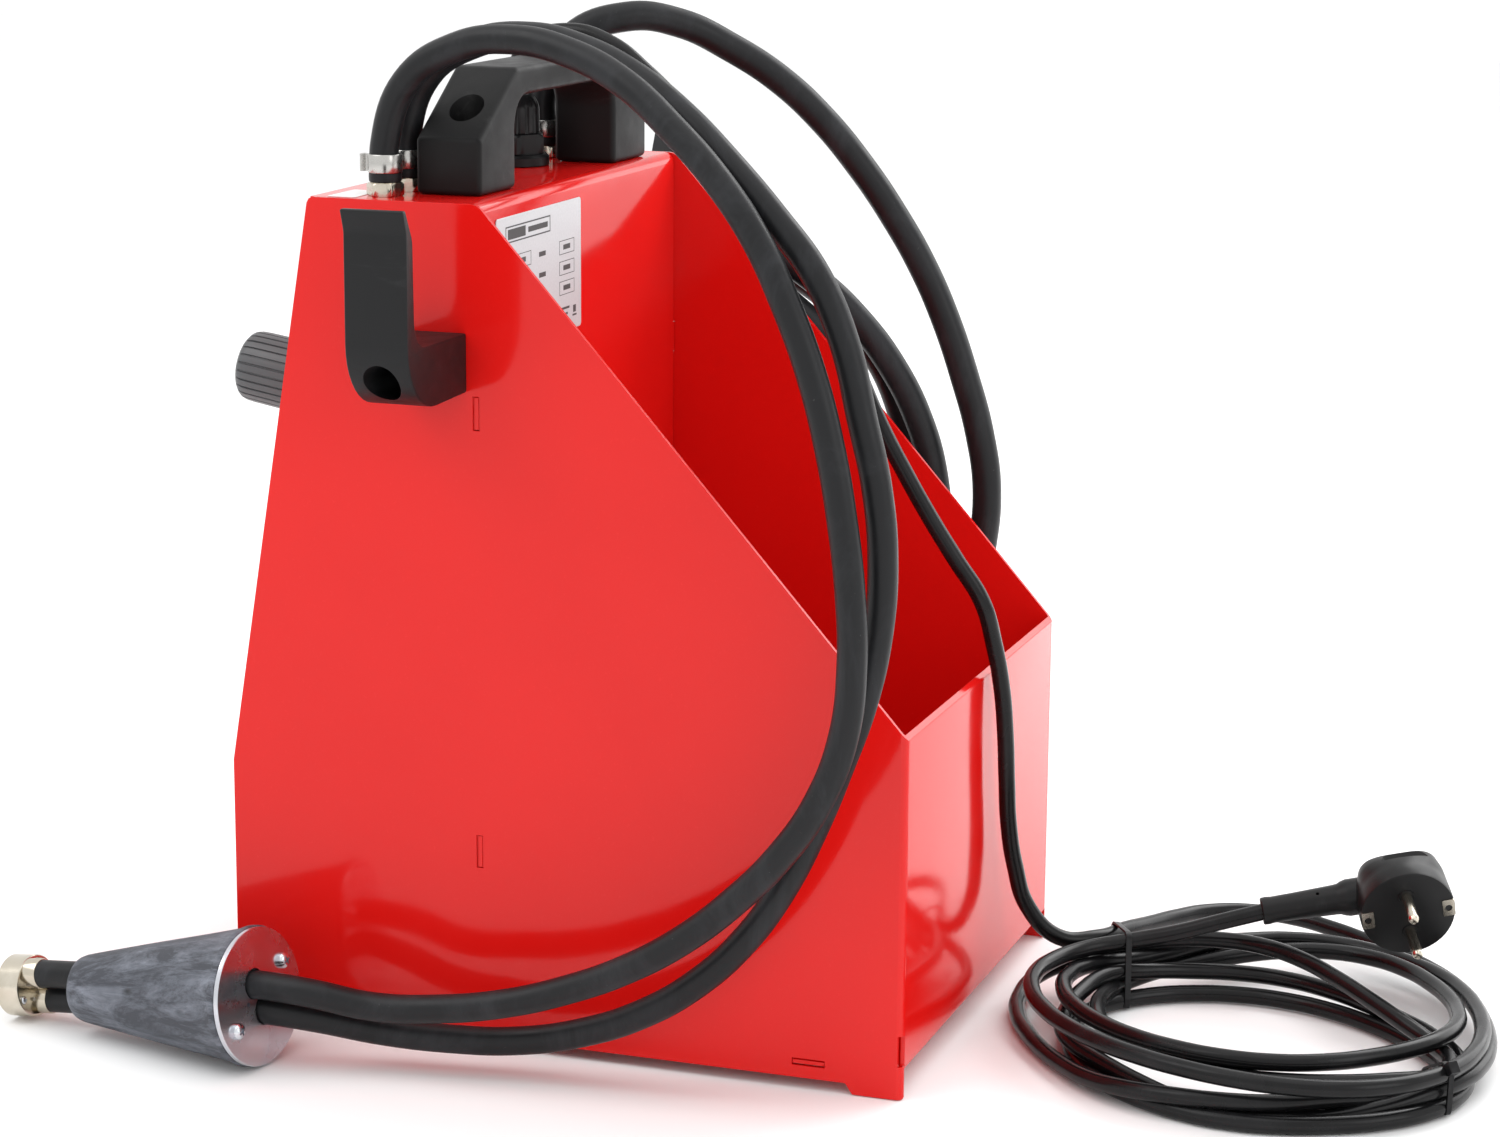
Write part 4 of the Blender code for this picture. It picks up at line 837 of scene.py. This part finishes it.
# ---------------------------------------------------------------- handle and hooks
def well(made, place, radius, low, high):
    """Sinks a round well."""
    profile = [(0, low), (radius, low), (radius, high), (0, high)]
    return combine(made, "DIFFERENCE", turned("tool", profile, place, None, 48))


def pan_head(name, place, radius, height, look, slot_name, *nodes):
    """A cross-recessed pan head, its seat at the placement's origin."""
    dome = [
        (0, 0), (radius, 0), (radius, height * 0.35), (radius * 0.93, height * 0.66),
        (radius * 0.70, height * 0.92), (radius * 0.35, height), (0, height),
    ]
    head = turned(name, dome, place, look, 40)
    arm, thick = radius * 0.56, radius * 0.13
    for turn in (0.4, 0.4 + pi / 2):
        at = place @ Matrix.Rotation(turn, 4, "Z")
        outline = [(-arm, -thick), (arm, -thick), (arm, thick), (-arm, thick)]
        combine(head, "DIFFERENCE", prism("tool", outline, height * 0.45, height * 2, at, None))
    return settle(head, slot_name, *nodes)


def handle():
    """The moulded bridge handle, its edges well rounded, with a screw deep in each end."""
    foot = HEIGHT + 0.0001
    outline = rounded([
        (0.0940, foot, 0), (0.0940, 0.3940, 0.003), (0.0530, 0.4220, 0.006), (-0.0530, 0.4220, 0.006),
        (-0.0960, 0.3940, 0.003), (-0.0960, foot, 0), (-0.0560, foot, 0), (-0.0560, 0.4095, 0.014),
        (0.0560, 0.4095, 0.014), (0.0560, foot, 0),
    ], 10)
    middle = sum(HANDLE_Y) / 2
    half = (HANDLE_Y[1] - HANDLE_Y[0]) / 2 + 0.0010
    skew = Matrix.Translation((0, middle, 0)) @ Matrix.Rotation(radians(-0.9), 4, "Z") @ FRONT_VIEW
    made = prism("bridge_handle", outline, -half, half, skew, "handle", 20)
    bake(soften(made, 0.0026, 4, 40))
    for side, sign in (("right", 1), ("left", -1)):
        place = frame_at((sign * 0.0765, middle, HEIGHT), (0, 0, 1))
        well(made, place, 0.0075, 0.0125, 0.06)
        at = place @ Matrix.Translation((0, 0, 0.0124))
        pan_head(f"handle_screw_head_{side}", at, 0.0062, 0.0048, "screw", "zinc_steel",
                 f"handle_screw_{side}")
    settle(made, "black_plastic", "carry_handle")


def hook(side, sign):
    """A moulded J hook with a flared lip, a soft lower bend and a screw well."""
    wall = HALF + 0.0001
    corners = [
        (wall, 0.2905, 0.001), (0.1790, 0.2890, 0.028), (0.1790, 0.3640, 0.010),
        (0.1822, 0.3735, 0.0008), (0.1788, 0.3735, 0.0008), (0.1722, 0.3610, 0.010),
        (0.1712, 0.3157, 0.012), (wall, 0.3157, 0.001),
    ]
    outline = [(sign * x, z) for x, z in rounded(corners, 10)]
    made = prism(f"hook_{side}", outline, -HOOK_Y[1], -HOOK_Y[0], FRONT_VIEW, "hook", 20)
    bake(soften(made, 0.0016, 4, 40))
    place = frame_at((0, sum(HOOK_Y) / 2, 0.3015), (sign, 0, 0), (0, 1, 0))
    well(made, place, 0.0080, 0.1310, 0.2000)
    settle(made, "black_plastic", f"hose_hook_{side}")
    at = place @ Matrix.Translation((0, 0, 0.1309))
    pan_head(f"hook_screw_head_{side}", at, 0.0058, 0.0046, "screw", "zinc_steel",
             f"hook_screw_{side}")


# ---------------------------------------------------------------- controls on the leaning panel
def knob():
    """The regulator's knob with narrow axial grooves, and the plain nut behind it."""
    place = on_panel(*KNOB_AT)
    grooves = 26

    def grooved(angle, height):
        if not 0.0110 < height < 0.0360:
            return 1
        off = abs((angle * grooves / (2 * pi) + 0.5) % 1 - 0.5)
        return 0.952 if off < 0.10 else 0.975 if off < 0.14 else 1

    rows = mm(
        (0, 6), (15, 6), (15.8, 6.5), (16, 7.5), (16, 10.9),
        (16, 11.6), (15.8, 30.5), (15.6, 34.1), (15.1, 35.9), (14.6, 36.7),
        (13.2, 37.9), (11, 38.6), (8.5, 38.8), (8, 38.1), (0, 37.9),
    )
    made = turned("fluted_knob", rows, place, "knob", grooves * 14, shape=grooved)
    settle(made, "grey_plastic", "regulator_knob", body="knob")
    nut = [
        (0.0100, GAP), (0.0143, GAP), (0.0145, 0.0006), (0.0145, 0.0045), (0.0138, 0.0055),
        (0.0100, 0.0055),
    ]
    settle(turned("panel_nut", nut, place, "black", 6 * 12, True), "black_plastic", "regulator_nut")


def word(name, text, size, place, look):
    """A short generic numeral, standing on a placement's X, Y plane."""
    curve = bpy.data.curves.new(name, "FONT")
    curve.body = text
    curve.size = size
    curve.extrude = 0.00003
    curve.align_x = "CENTER"
    curve.align_y = "CENTER"
    shaped = bpy.data.objects.new(name, curve)
    bpy.context.scene.collection.objects.link(shaped)
    bpy.context.view_layer.update()
    graph = bpy.context.evaluated_depsgraph_get()
    mesh = bpy.data.meshes.new_from_object(shaped.evaluated_get(graph))
    bpy.data.objects.remove(shaped)
    mesh.materials.clear()
    mesh.materials.append(LOOK[look])
    made = bpy.data.objects.new(name, mesh)
    bpy.context.scene.collection.objects.link(made)
    made.matrix_world = place
    return made


def gauge():
    """A dial gauge with a bezel, a printed scale, a tapered needle and a domed lens."""
    place = on_panel(*GAUGE_AT)
    case = mm(
        (0, -28), (28.8, -28), (29.8, -27), (29.8, 0.3), (33.1, 0.3),
        (33.5, 0.8), (33.5, 6.4), (33, 7.5), (31.8, 8.5), (27.5, 8.5),
        (26.2, 8), (26.2, 6.6), (28, 6.6), (28, -6), (0, -6),
    )
    settle(turned("bezel", case, place, "black", 96), "black_plastic", "gauge_case")
    card = mm((0, -5.7), (27.7, -5.7), (27.7, -4.7), (0, -4.7))
    settle(turned("scale_card", card, place, "dial", 72), "dial_white", "gauge_dial")
    scale = []
    for i in range(41):
        a = radians(225 - 270 * i / 40)
        major = i % 10 == 0
        scale.append((a, 0.0205 if major else 0.0222 if i % 5 == 0 else 0.0230, major))
    bm = bmesh.new()
    for a, inner, major in scale:
        half = 0.00032 if major else 0.00016
        run, side = Vector((cos(a), sin(a))), Vector((-sin(a), cos(a)))
        flat = [run * inner - side * half, run * 0.0245 - side * half]
        flat += [run * 0.0245 + side * half, run * inner + side * half]
        bm.faces.new([bm.verts.new((p.x, p.y, -0.00462)) for p in flat])
    settle(keep("scale_ticks", bm, place, "ink"), "needle_black")
    for i in range(5):
        a = radians(225 - 270 * i / 4)
        at = place @ Matrix.Translation((0.0168 * cos(a), 0.0168 * sin(a), -0.0046))
        settle(word(f"scale_number_{i}", str(i), 0.0052, at, "ink"), "needle_black")
    at = place @ Matrix.Translation((0, -0.0120, -0.0046))
    settle(word("scale_unit", "bar", 0.0036, at, "ink"), "needle_black")
    pointer = mm(
        (-1.4, -7), (1.4, -7), (2, -2.4), (2, 2),
        (0.4, 21), (-0.4, 21), (-2, 2), (-2, -2.4),
    )
    at_zero = place @ Matrix.Rotation(radians(135), 4, "Z")
    needle = prism("tapered_needle", pointer, -0.0036, -0.0030, at_zero, "needle")
    hub = mm((0, -4), (3, -4), (3, -2.8), (2.2, -2.4), (0, -2.4))
    combine(needle, "UNION", turned("tool", hub, at_zero, None, 32))
    settle(needle, "needle_black", "gauge_needle", body="needle")
    lens = mm((0, 4.4), (27.7, 4.2), (27.7, 6), (20, 6.3), (0, 6.5))
    settle(turned("domed_lens", lens, place, "lens", 72), "clear_lens", "gauge_lens")


def power_switch():
    """A framed rocker with a bar and a ring for on and off."""
    place = on_panel(*SWITCH_AT)
    frame_outer = box_outline(-0.0120, -0.0155, 0.0120, 0.0155, 0.0012)
    made = prism("switch_frame", frame_outer, GAP, 0.0022, place, "black")
    bake(soften(made, 0.0006, 3))
    for operation, x, y, low, high in (
        ("UNION", 0.0101, 0.0136, -0.0220, 0.0010), ("DIFFERENCE", 0.0076, 0.0123, -0.0140, 0.0040),
    ):
        combine(made, operation, prism("tool", box_outline(-x, -y, x, y), low, high, place, None))
    settle(made, "black_plastic", "switch_housing")
    right = mm((8, -4.5), (10.9, -2), (11.3, 1), (9.8, 5.5))
    right += [(0.0070, 0.0043), (0.0035, 0.0031), (0, 0.0025)]
    left = [(-u, n) for u, n in reversed(right[:-1])]
    pivot = place @ Matrix.Translation((0, 0, -0.0025))
    across = pivot @ SIDE_VIEW @ Matrix.Rotation(radians(-9), 4, "Z")
    rocker = prism("rocker_cap", right + left, -0.0072, 0.0072, across, "black", 20)
    settle(soften(rocker, 0.0004, 3, 40), "black_plastic", "switch_rocker", body="rocker")
    face = pivot @ Matrix.Rotation(radians(-9), 4, "X")
    lift = face @ Matrix.Translation((0, 0.0066, 0.00405)) @ Matrix.Rotation(radians(22), 4, "X")
    bar = bars("rocker_bar", [(-0.0004, -0.0018, 0.0004, 0.0018)], lift, 0.0, 0.0004, "paper")
    settle(bar, "dial_white", body="rocker")
    lower = face @ Matrix.Translation((0, -0.0066, 0.00405)) @ Matrix.Rotation(radians(-22), 4, "X")
    ring = mm((1.1, 0), (1.7, 0), (1.7, 0.4), (1.1, 0.4))
    settle(turned("rocker_ring", ring, lower, "paper", 32, True), "dial_white", body="rocker")


def fuse():
    """A panel fuse holder and its slotted, finely ribbed cap."""
    place = on_panel(*FUSE_AT)
    holder = [
        (0, -0.0300), (0.0060, -0.0300), (0.0060, GAP), (0.0083, GAP), (0.0085, 0.0006),
        (0.0085, 0.0017), (0.0080, 0.0022), (0.0045, 0.0022), (0.0045, -0.0270), (0, -0.0270),
    ]
    settle(turned("fuse_socket", holder, place, "black", 64), "black_plastic", "fuse_holder")

    def ribbed(angle, height):
        return 0.965 if 0.0030 < height < 0.0068 and (angle * 24 / (2 * pi)) % 1 > 0.5 else 1

    cap = mm(
        (0, -8), (4.1, -8), (4.1, 2.6), (6.4, 2.6), (6.6, 2.9),
        (6.6, 3.1), (6.6, 6.6), (6.4, 7.3), (5.8, 7.8), (0, 7.8),
    )
    made = turned("fuse_button", cap, place, "black", 96, shape=ribbed)
    slot = prism("tool", box_outline(-0.0045, -0.0006, 0.0045, 0.0006), 0.0062, 0.01, place, None)
    combine(made, "DIFFERENCE", slot)
    settle(made, "black_plastic", "fuse_cap", body="fuse_cap")


# ---------------------------------------------------------------- fittings on the tower's top
def hexagonal(corner):
    """A shape for turned(): a hexagon of the given corner radius, cut by each row's circle."""
    def shape(angle, height):
        flat = corner * cos(pi / 6) / cos((angle + pi / 6) % (pi / 3) - pi / 6)
        return min(1, flat / shape.radius(height))
    return shape


def nut(name, place, corner, low, high, chamfer, look):
    """A hexagon chamfered at both ends."""
    inset = corner * 0.90
    levels = {low: inset, low + chamfer: corner, high - chamfer: corner, high: inset}
    shape = hexagonal(corner)
    shape.radius = lambda height: levels.get(height, corner)
    rows = [(0, low)] + [(r, z) for z, r in levels.items()] + [(0, high)]
    return turned(name, rows, place, look, 72, shape=lambda a, z: shape(a, z) if z in levels else 1)


def hose_fitting(name, x, hose_radius, turn):
    """A chamfered nut on its stem, the hose's swollen end and a pinched ear clamp."""
    place = on_top(x)
    made = nut(f"{name}_nut", place @ Matrix.Rotation(turn, 4, "Z"), 0.0081, 0.0001, 0.0056, 0.0006,
               "nickel")
    stem = mm(
        (0, -18), (4.2, -18), (4.7, -17.5), (4.7, 5.2), (6.4, 5.6),
        (6.6, 7.5), (0, 7.5),
    )
    combine(made, "UNION", turned("tool", stem, place, None, 48))
    settle(made, "nickel", f"{name}_fitting")
    swell = hose_radius + 0.0007
    lip = [
        (hose_radius - 0.001, 0.0058), (swell - 0.0006, 0.0058), (swell, 0.0064),
        (swell + 0.0001, 0.0082), (swell, 0.0098), (hose_radius - 0.001, 0.0100),
    ]
    settle(turned(f"{name}_hose_end", lip, place, "hose", 64, True), "rubber")
    inner, outer = hose_radius - 0.0001, hose_radius + 0.0011
    low, high = 0.0100, 0.0178
    band = [
        (inner, low), (outer - 0.0002, low), (outer, low + 0.0003), (outer, high - 0.0003),
        (outer - 0.0002, high), (inner, high),
    ]
    clamp = turned(f"{name}_ear_clamp", band, place, "steel", 96, True)
    reach = outer + 0.0036
    ear = rounded([
        (-0.0013, -outer + 0.0004, 0), (-0.0009, -outer - 0.0012, 0.0003),
        (-0.0024, -reach + 0.0008, 0.0005), (-0.0020, -reach, 0.0006), (0.0020, -reach, 0.0006),
        (0.0024, -reach + 0.0008, 0.0005), (0.0009, -outer - 0.0012, 0.0003),
        (0.0013, -outer + 0.0004, 0),
    ], 4)
    combine(clamp, "UNION", prism("tool", ear, low + 0.0002, high - 0.0002, place, None))
    settle(clamp, "stainless", f"{name}_clamp")


def cable_gland():
    """A screwed gland: flange, hexagonal body, ribbed cap and dome."""
    place = on_top(GLAND_X)
    flange = mm(
        (4, -18), (9.7, -18), (9.7, 0.1), (16.5, 0.1), (16.8, 0.5),
        (16.8, 4), (15.8, 5.2), (14, 5.6), (4, 5.6),
    )
    made = turned("gland_flange", flange, place, "black", 96, True)
    combine(made, "UNION", nut("tool", place, 0.0154, 0.0050, 0.0145, 0.0010, None))

    def ribbed(angle, height):
        return 0.955 if 0.0152 < height < 0.0280 and (angle * 18 / (2 * pi)) % 1 > 0.62 else 1

    cap = mm(
        (0, 14), (11.8, 14), (12.4, 15), (12.6, 15.6), (12.4, 26.2),
        (12.1, 27.5), (11, 30), (9.4, 32.1), (7.3, 33.7), (5.5, 34.5),
        (4.3, 34.5), (4.1, 32), (0, 32),
    )
    combine(made, "UNION", turned("tool", cap, place, None, 144, shape=ribbed))
    settle(made, "black_plastic", "cable_gland")


# ---------------------------------------------------------------- cone, disc and suction head
def cone():
    """The tapered rubber stopper, its zinc disc with two screws, and the suction head."""
    face = SHEET

    def uneven(angle, height):
        return 1 + 0.004 * sin(3 * angle + 40 * height) + 0.003 * sin(5 * angle - 90 * height)

    taper = [
        (0, face), (CONE_R - 0.0011, face), (CONE_R - 0.0003, face + 0.0004), (CONE_R, face + 0.0012),
        (CONE_R - 0.0001, face + 0.0030), (CONE_R - 0.0009, face + 0.0042),
    ]
    for i in range(1, 12):
        t = i / 12
        radius = CONE_R - 0.0010 + (CONE_TIP_R + 0.0017 - CONE_R) * t
        taper.append((radius, 0.0065 + (CONE_LENGTH - 0.0095) * t))
    taper += [
        (CONE_TIP_R + 0.0006, CONE_LENGTH - 0.0030), (CONE_TIP_R - 0.0001, CONE_LENGTH - 0.0010),
        (CONE_TIP_R - 0.0014, CONE_LENGTH), (0, CONE_LENGTH),
    ]
    rubber = turned("stopper_cone", taper, CONE, "cone", 96, shape=uneven)
    rim = [(0, 0), (DISC_R - 0.0003, 0), (DISC_R, 0.0003), (DISC_R, SHEET), (0, SHEET)]
    disc = turned("zinc_disc", rim, CONE, "zinc", 128)
    for sign in (1, -1):
        hole = [(0, -0.01), (HOSE_R + 0.0005, -0.01), (HOSE_R + 0.0005, 0.012), (0, 0.012)]
        combine(disc, "DIFFERENCE", turned("tool", hole, hose_line(sign), None, 48))
        bore = [(0, -0.01), (HOSE_R - 0.0002, -0.01), (HOSE_R - 0.0002, 0.12), (0, 0.12)]
        combine(rubber, "DIFFERENCE", turned("tool", bore, hose_line(sign), None, 48))
    pin = mm((0, -10), (1.1, -10), (1.1, 10), (0, 10))
    at = Matrix.Translation((-0.0012, -0.0084, 0))
    combine(disc, "DIFFERENCE", turned("tool", pin, CONE @ at, None, 24))
    settle(rubber, "cone_rubber", "rubber_cone")
    settle(disc, "zinc_steel", "cone_plate")
    made = [rubber, disc]
    for side, place in (("upper", (0.0109, 0.0188)), ("lower", (-0.0100, -0.0185))):
        at = CONE @ Matrix.Translation((*place, 0.0001)) @ Matrix.Rotation(pi, 4, "X")
        made.append(pan_head(f"disc_screw_{side}", at, 0.0036, 0.0030, "screw", "zinc_steel"))
    ring = [
        (0.0126, HEAD_FROM), (HEAD_R - 0.0004, HEAD_FROM), (HEAD_R, HEAD_FROM + 0.0004),
        (HEAD_R, HEAD_TO - 0.0004), (HEAD_R - 0.0004, HEAD_TO), (0.0126, HEAD_TO),
    ]
    head = turned("head_ring", ring, CONE, "nickel", 96, True)
    inner, low, high = 0.0128, HEAD_FROM + 0.0020, HEAD_FROM + 0.0034
    floor = [(0, low), (inner, low), (inner, high), (0, high)]
    combine(head, "UNION", turned("tool", floor, CONE, None, 64))
    settle(head, "nickel", "suction_head")
    made.append(head)
    for side, sign in (("suction", 1), ("return", -1)):
        line = hose_line(sign)
        barb = [
            (HOSE_R - 0.0004, HEAD_FROM - 0.0068), (HOSE_R + 0.0002, HEAD_FROM - 0.0068),
            (HOSE_R + 0.0005, HEAD_FROM - 0.0062), (HOSE_R + 0.0005, HEAD_FROM + 0.0022),
            (HOSE_R - 0.0004, HEAD_FROM + 0.0022),
        ]
        made.append(settle(turned(f"{side}_barb", barb, line, "nickel", 64, True), "nickel"))
    at = CONE @ Matrix.Translation((-0.0046, -0.0082, HEAD_FROM + 0.0021))
    at = at @ Matrix.Rotation(pi, 4, "X")
    made.append(pan_head("head_screw", at, 0.0019, 0.0016, "screw", "zinc_steel"))
    return made


def coupling():
    """A quick coupling with a knurled sleeve on the pressure hose's end."""
    place = frame_at(COUPLING_AT, (0, 1, 0), (0, 0, 1))

    def knurled(angle, height):
        return 0.985 if 0.0185 < height < 0.0355 and (angle * 40 / (2 * pi)) % 1 > 0.5 else 1

    rows = mm(
        (0, 2), (5, 2), (5, 0), (6.2, 0), (6.5, 0.3), (8.3, 1.8),
        (8.5, 2.4), (8.5, 16), (10.6, 17.4), (11, 18.2), (11, 19),
        (11, 35.2), (11, 35.8), (10.6, 36.4), (9.5, 38), (9.5, 46),
        (8.8, 46.8), (8, 50), (0, 50),
    )
    made = turned("quick_coupling", rows, place, "nickel", 160, shape=knurled)
    return [settle(made, "nickel", "bleeder_coupling")]


# ---------------------------------------------------------------- plug and ties
def lofted(name, rows, place, look, steps=64):
    """A body through superelliptic sections: (height, half_x, half_y, shift_x, power)."""
    bm = bmesh.new()
    rings = []
    for height, a, b, shift, power in rows:
        ring = []
        for i in range(steps):
            t = 2 * pi * i / steps
            c, s = cos(t), sin(t)
            x = a * abs(c) ** (2 / power) * (1 if c >= 0 else -1) + shift
            y = b * abs(s) ** (2 / power) * (1 if s >= 0 else -1)
            ring.append(bm.verts.new((x, y, height)))
        rings.append(ring)
    for low, high in zip(rings, rings[1:]):
        for i in range(steps):
            j = (i + 1) % steps
            bm.faces.new([low[i], low[j], high[j], high[i]])
    bm.faces.new(rings[0])
    bm.faces.new(rings[-1])
    return keep(name, bm, place, look)


def plug():
    """An angled two-pin earthed plug with a grip, earth contacts and a tapered strain relief."""
    place = frame_at(PLUG_FACE, PLUG_PINS, PLUG_LEAD)
    rows = [
        (-0.0300, 0.0120, 0.0095, 0.0010, 5.0), (-0.0292, 0.0134, 0.0108, 0.0008, 5.0),
        (-0.0262, 0.0162, 0.0150, 0.0004, 4.4), (-0.0215, 0.0188, 0.0186, 0.0, 3.6),
        (-0.0165, 0.0203, 0.0202, 0.0, 2.8), (-0.0125, 0.0209, 0.0209, 0.0, 2.2),
        (-0.0090, 0.0212, 0.0212, 0.0, 2.0), (-0.0012, 0.0213, 0.0213, 0.0, 2.0),
        (-0.0003, 0.0210, 0.0210, 0.0, 2.0), (0.0, 0.0203, 0.0203, 0.0, 2.0),
    ]
    body = lofted("plug_body", rows, place, "plug", 96)
    for sign in (1, -1):
        at = place @ Matrix.Translation((-0.004, sign * 0.0238, -0.0235))
        at = at @ Matrix.Rotation(sign * 0.5, 4, "X")
        ends = [(along, 0.011, 0.0045, 0, 2.4) for along in (-0.009, 0.009)]
        combine(body, "DIFFERENCE", lofted("tool", ends, at, None, 48))
    along = frame_at(PLUG_FACE - PLUG_LEAD_DEPTH * PLUG_PINS, PLUG_LEAD, PLUG_PINS)
    relief = mm(
        (0, 0), (8.5, 0.5), (8.4, 24), (7.8, 26.2), (7, 28),
        (6.8, 30), (6.2, 48), (6, 58), (6.3, 60.5), (6.2, 62.5),
        (5.7, 63), (4, 63), (0, 60),
    )
    combine(body, "UNION", turned("tool", relief, along, None, 64))
    hole = mm((0, 0), (0.8, 0), (0.8, 20), (0, 20))
    out = Vector((0, 0, 1)) + PLUG_PINS * 0.6
    at = frame_at(along @ Vector((0, 0, 0.0385)) + 0.0048 * out.normalized(), out)
    combine(body, "DIFFERENCE", turned("tool", hole, at, None, 20))
    settle(body, "black_plastic", "mains_plug")
    made = [body]
    across = PLUG_PINS.cross(PLUG_LEAD)
    for k, sign in enumerate((-1, 1)):
        at = frame_at(PLUG_FACE + sign * 0.0095 * across, PLUG_PINS, PLUG_LEAD)
        pin = mm(
            (0, -4), (2.4, -4), (2.4, 17.6), (2.3, 18.6), (1.8, 19.6),
            (1, 20), (0, 20),
        )
        made.append(settle(turned(f"plug_pin_{k}", pin, at, "nickel", 40), "nickel"))
        collar = mm((0, 0), (3.6, 0), (3.4, 0.6), (0, 0.6))
        made.append(settle(turned(f"pin_collar_{k}", collar, at, "plug", 40), "black_plastic"))
    for side, sign in (("near", 1), ("far", -1)):
        at = place @ Matrix.Translation((sign * 0.0181, 0, 0))
        outline = box_outline(-0.0028, -0.0042, 0.0026, 0.0042, 0.0006)
        clip = prism(f"earth_clip_{side}", outline, -0.0100, 0.0005, at, "nickel")
        notch = mm((0, -2), (1.6, -2), (1.6, 2), (0, 2))
        combine(clip, "DIFFERENCE", turned("tool", notch, at, None, 24))
        made.append(settle(clip, "nickel"))
    return made


def crossings(path, place, reach):
    """Where a path crosses a placement's X, Y plane within reach of its origin."""
    back = place.inverted()
    found = []
    local = [back @ Vector(p) for p in path]
    for a, b in zip(local, local[1:]):
        if a.z * b.z <= 0 and a.z != b.z:
            at = a.lerp(b, a.z / (a.z - b.z))
            if hypot(at.x, at.y) < reach:
                found.append(Vector((at.x, at.y)))
    return found


def strap(name, path, place, reach, lock):
    """A cable tie drawn round the strands that cross its plane, with a square lock."""
    strands = crossings(path, place, reach)
    inner, outer = [], []
    for i in range(72):
        way = Vector((cos(2 * pi * i / 72), sin(2 * pi * i / 72)))
        far = max(strands, key=lambda strand: strand.dot(way))
        for ring, gap in ((inner, 0.0001), (outer, 0.0011)):
            at = far + way * (MAINS_R + gap)
            ring.append((max(at.x, gap - place.translation.z), at.y))
    made = ring_prism(name, inner, outer, -0.0013, 0.0013, place, "tie")
    way = Vector((cos(lock), sin(lock)))
    far = max(strands, key=lambda strand: strand.dot(way)) + way * (MAINS_R + 0.0021)
    at = place @ Matrix.Translation((far.x, far.y, 0)) @ Matrix.Rotation(lock, 4, "Z")
    outline = box_outline(-0.0022, -0.0027, 0.0022, 0.0027, 0.0006)
    head = prism(f"{name}_lock", outline, -0.0024, 0.0024, at, "tie")
    soften(head, 0.0004, 2)
    return [settle(made, "black_plastic"), settle(head, "black_plastic")]


def ties():
    """Two ties on the lead's turns."""
    end = PLUG_FACE - PLUG_LEAD_DEPTH * PLUG_PINS + RELIEF_END * PLUG_LEAD
    path = smooth_route(LEAD_ROUTE[-4:] + LEAD_TURNS + [tuple(end)], 0.003)
    first = frame_at((-0.0420, 0.2190, 0.0150), (-0.45, 0.89, -0.12), (0, 0, 1))
    second = frame_at((0.0560, 0.3800, 0.0120), (0.72, -0.70, 0.0), (0, 0, 1))
    made = strap("tie_back", path, first, 0.024, -2.2)
    return made + strap("tie_front", path, second, 0.024, -0.9)


# ---------------------------------------------------------------- inner pieces
INNER = {
    "alloy": ("motor_housing", "motor_end_cap", "capacitor", "regulator_bonnet", "regulator_body"),
    "winding": ("motor_stator",),
    "steel": ("motor_rotor", "pump_rotor"),
    "brass": ("pump_body", "pump_cover", "adjusting_screw", "spring_plate"),
    "black": ("cooling_fan", "terminal_block"),
    "zinc": ("motor_bracket",),
    "nylon": ("suction_pipe", "pressure_pipe", "return_pipe", "bleeder_pipe"),
}


def inner_pieces():
    """Pieces inside the tower keep their own shapes and get their finishes."""
    for look, nodes in INNER.items():
        for node in nodes:
            mesh = NODES[node].data
            mesh.materials.clear()
            mesh.materials.append(LOOK[look])


def main():
    camera()
    studio()
    made = free_cords()
    sheet_metal()
    slot_backs()
    rating_plate()
    handle()
    hook("right", 1)
    hook("left", -1)
    knob()
    gauge()
    power_switch()
    fuse()
    hose_fitting("suction", SUCTION_X, HOSE_R, 0.25)
    hose_fitting("return", RETURN_X, HOSE_R, 0.55)
    hose_fitting("bleeder", BLEEDER_X, BLEEDER_R, 0.4)
    cable_gland()
    pieces = {"cone": cone(), "coupling": coupling(), "plug": plug() + ties()}
    inner_pieces()


main()
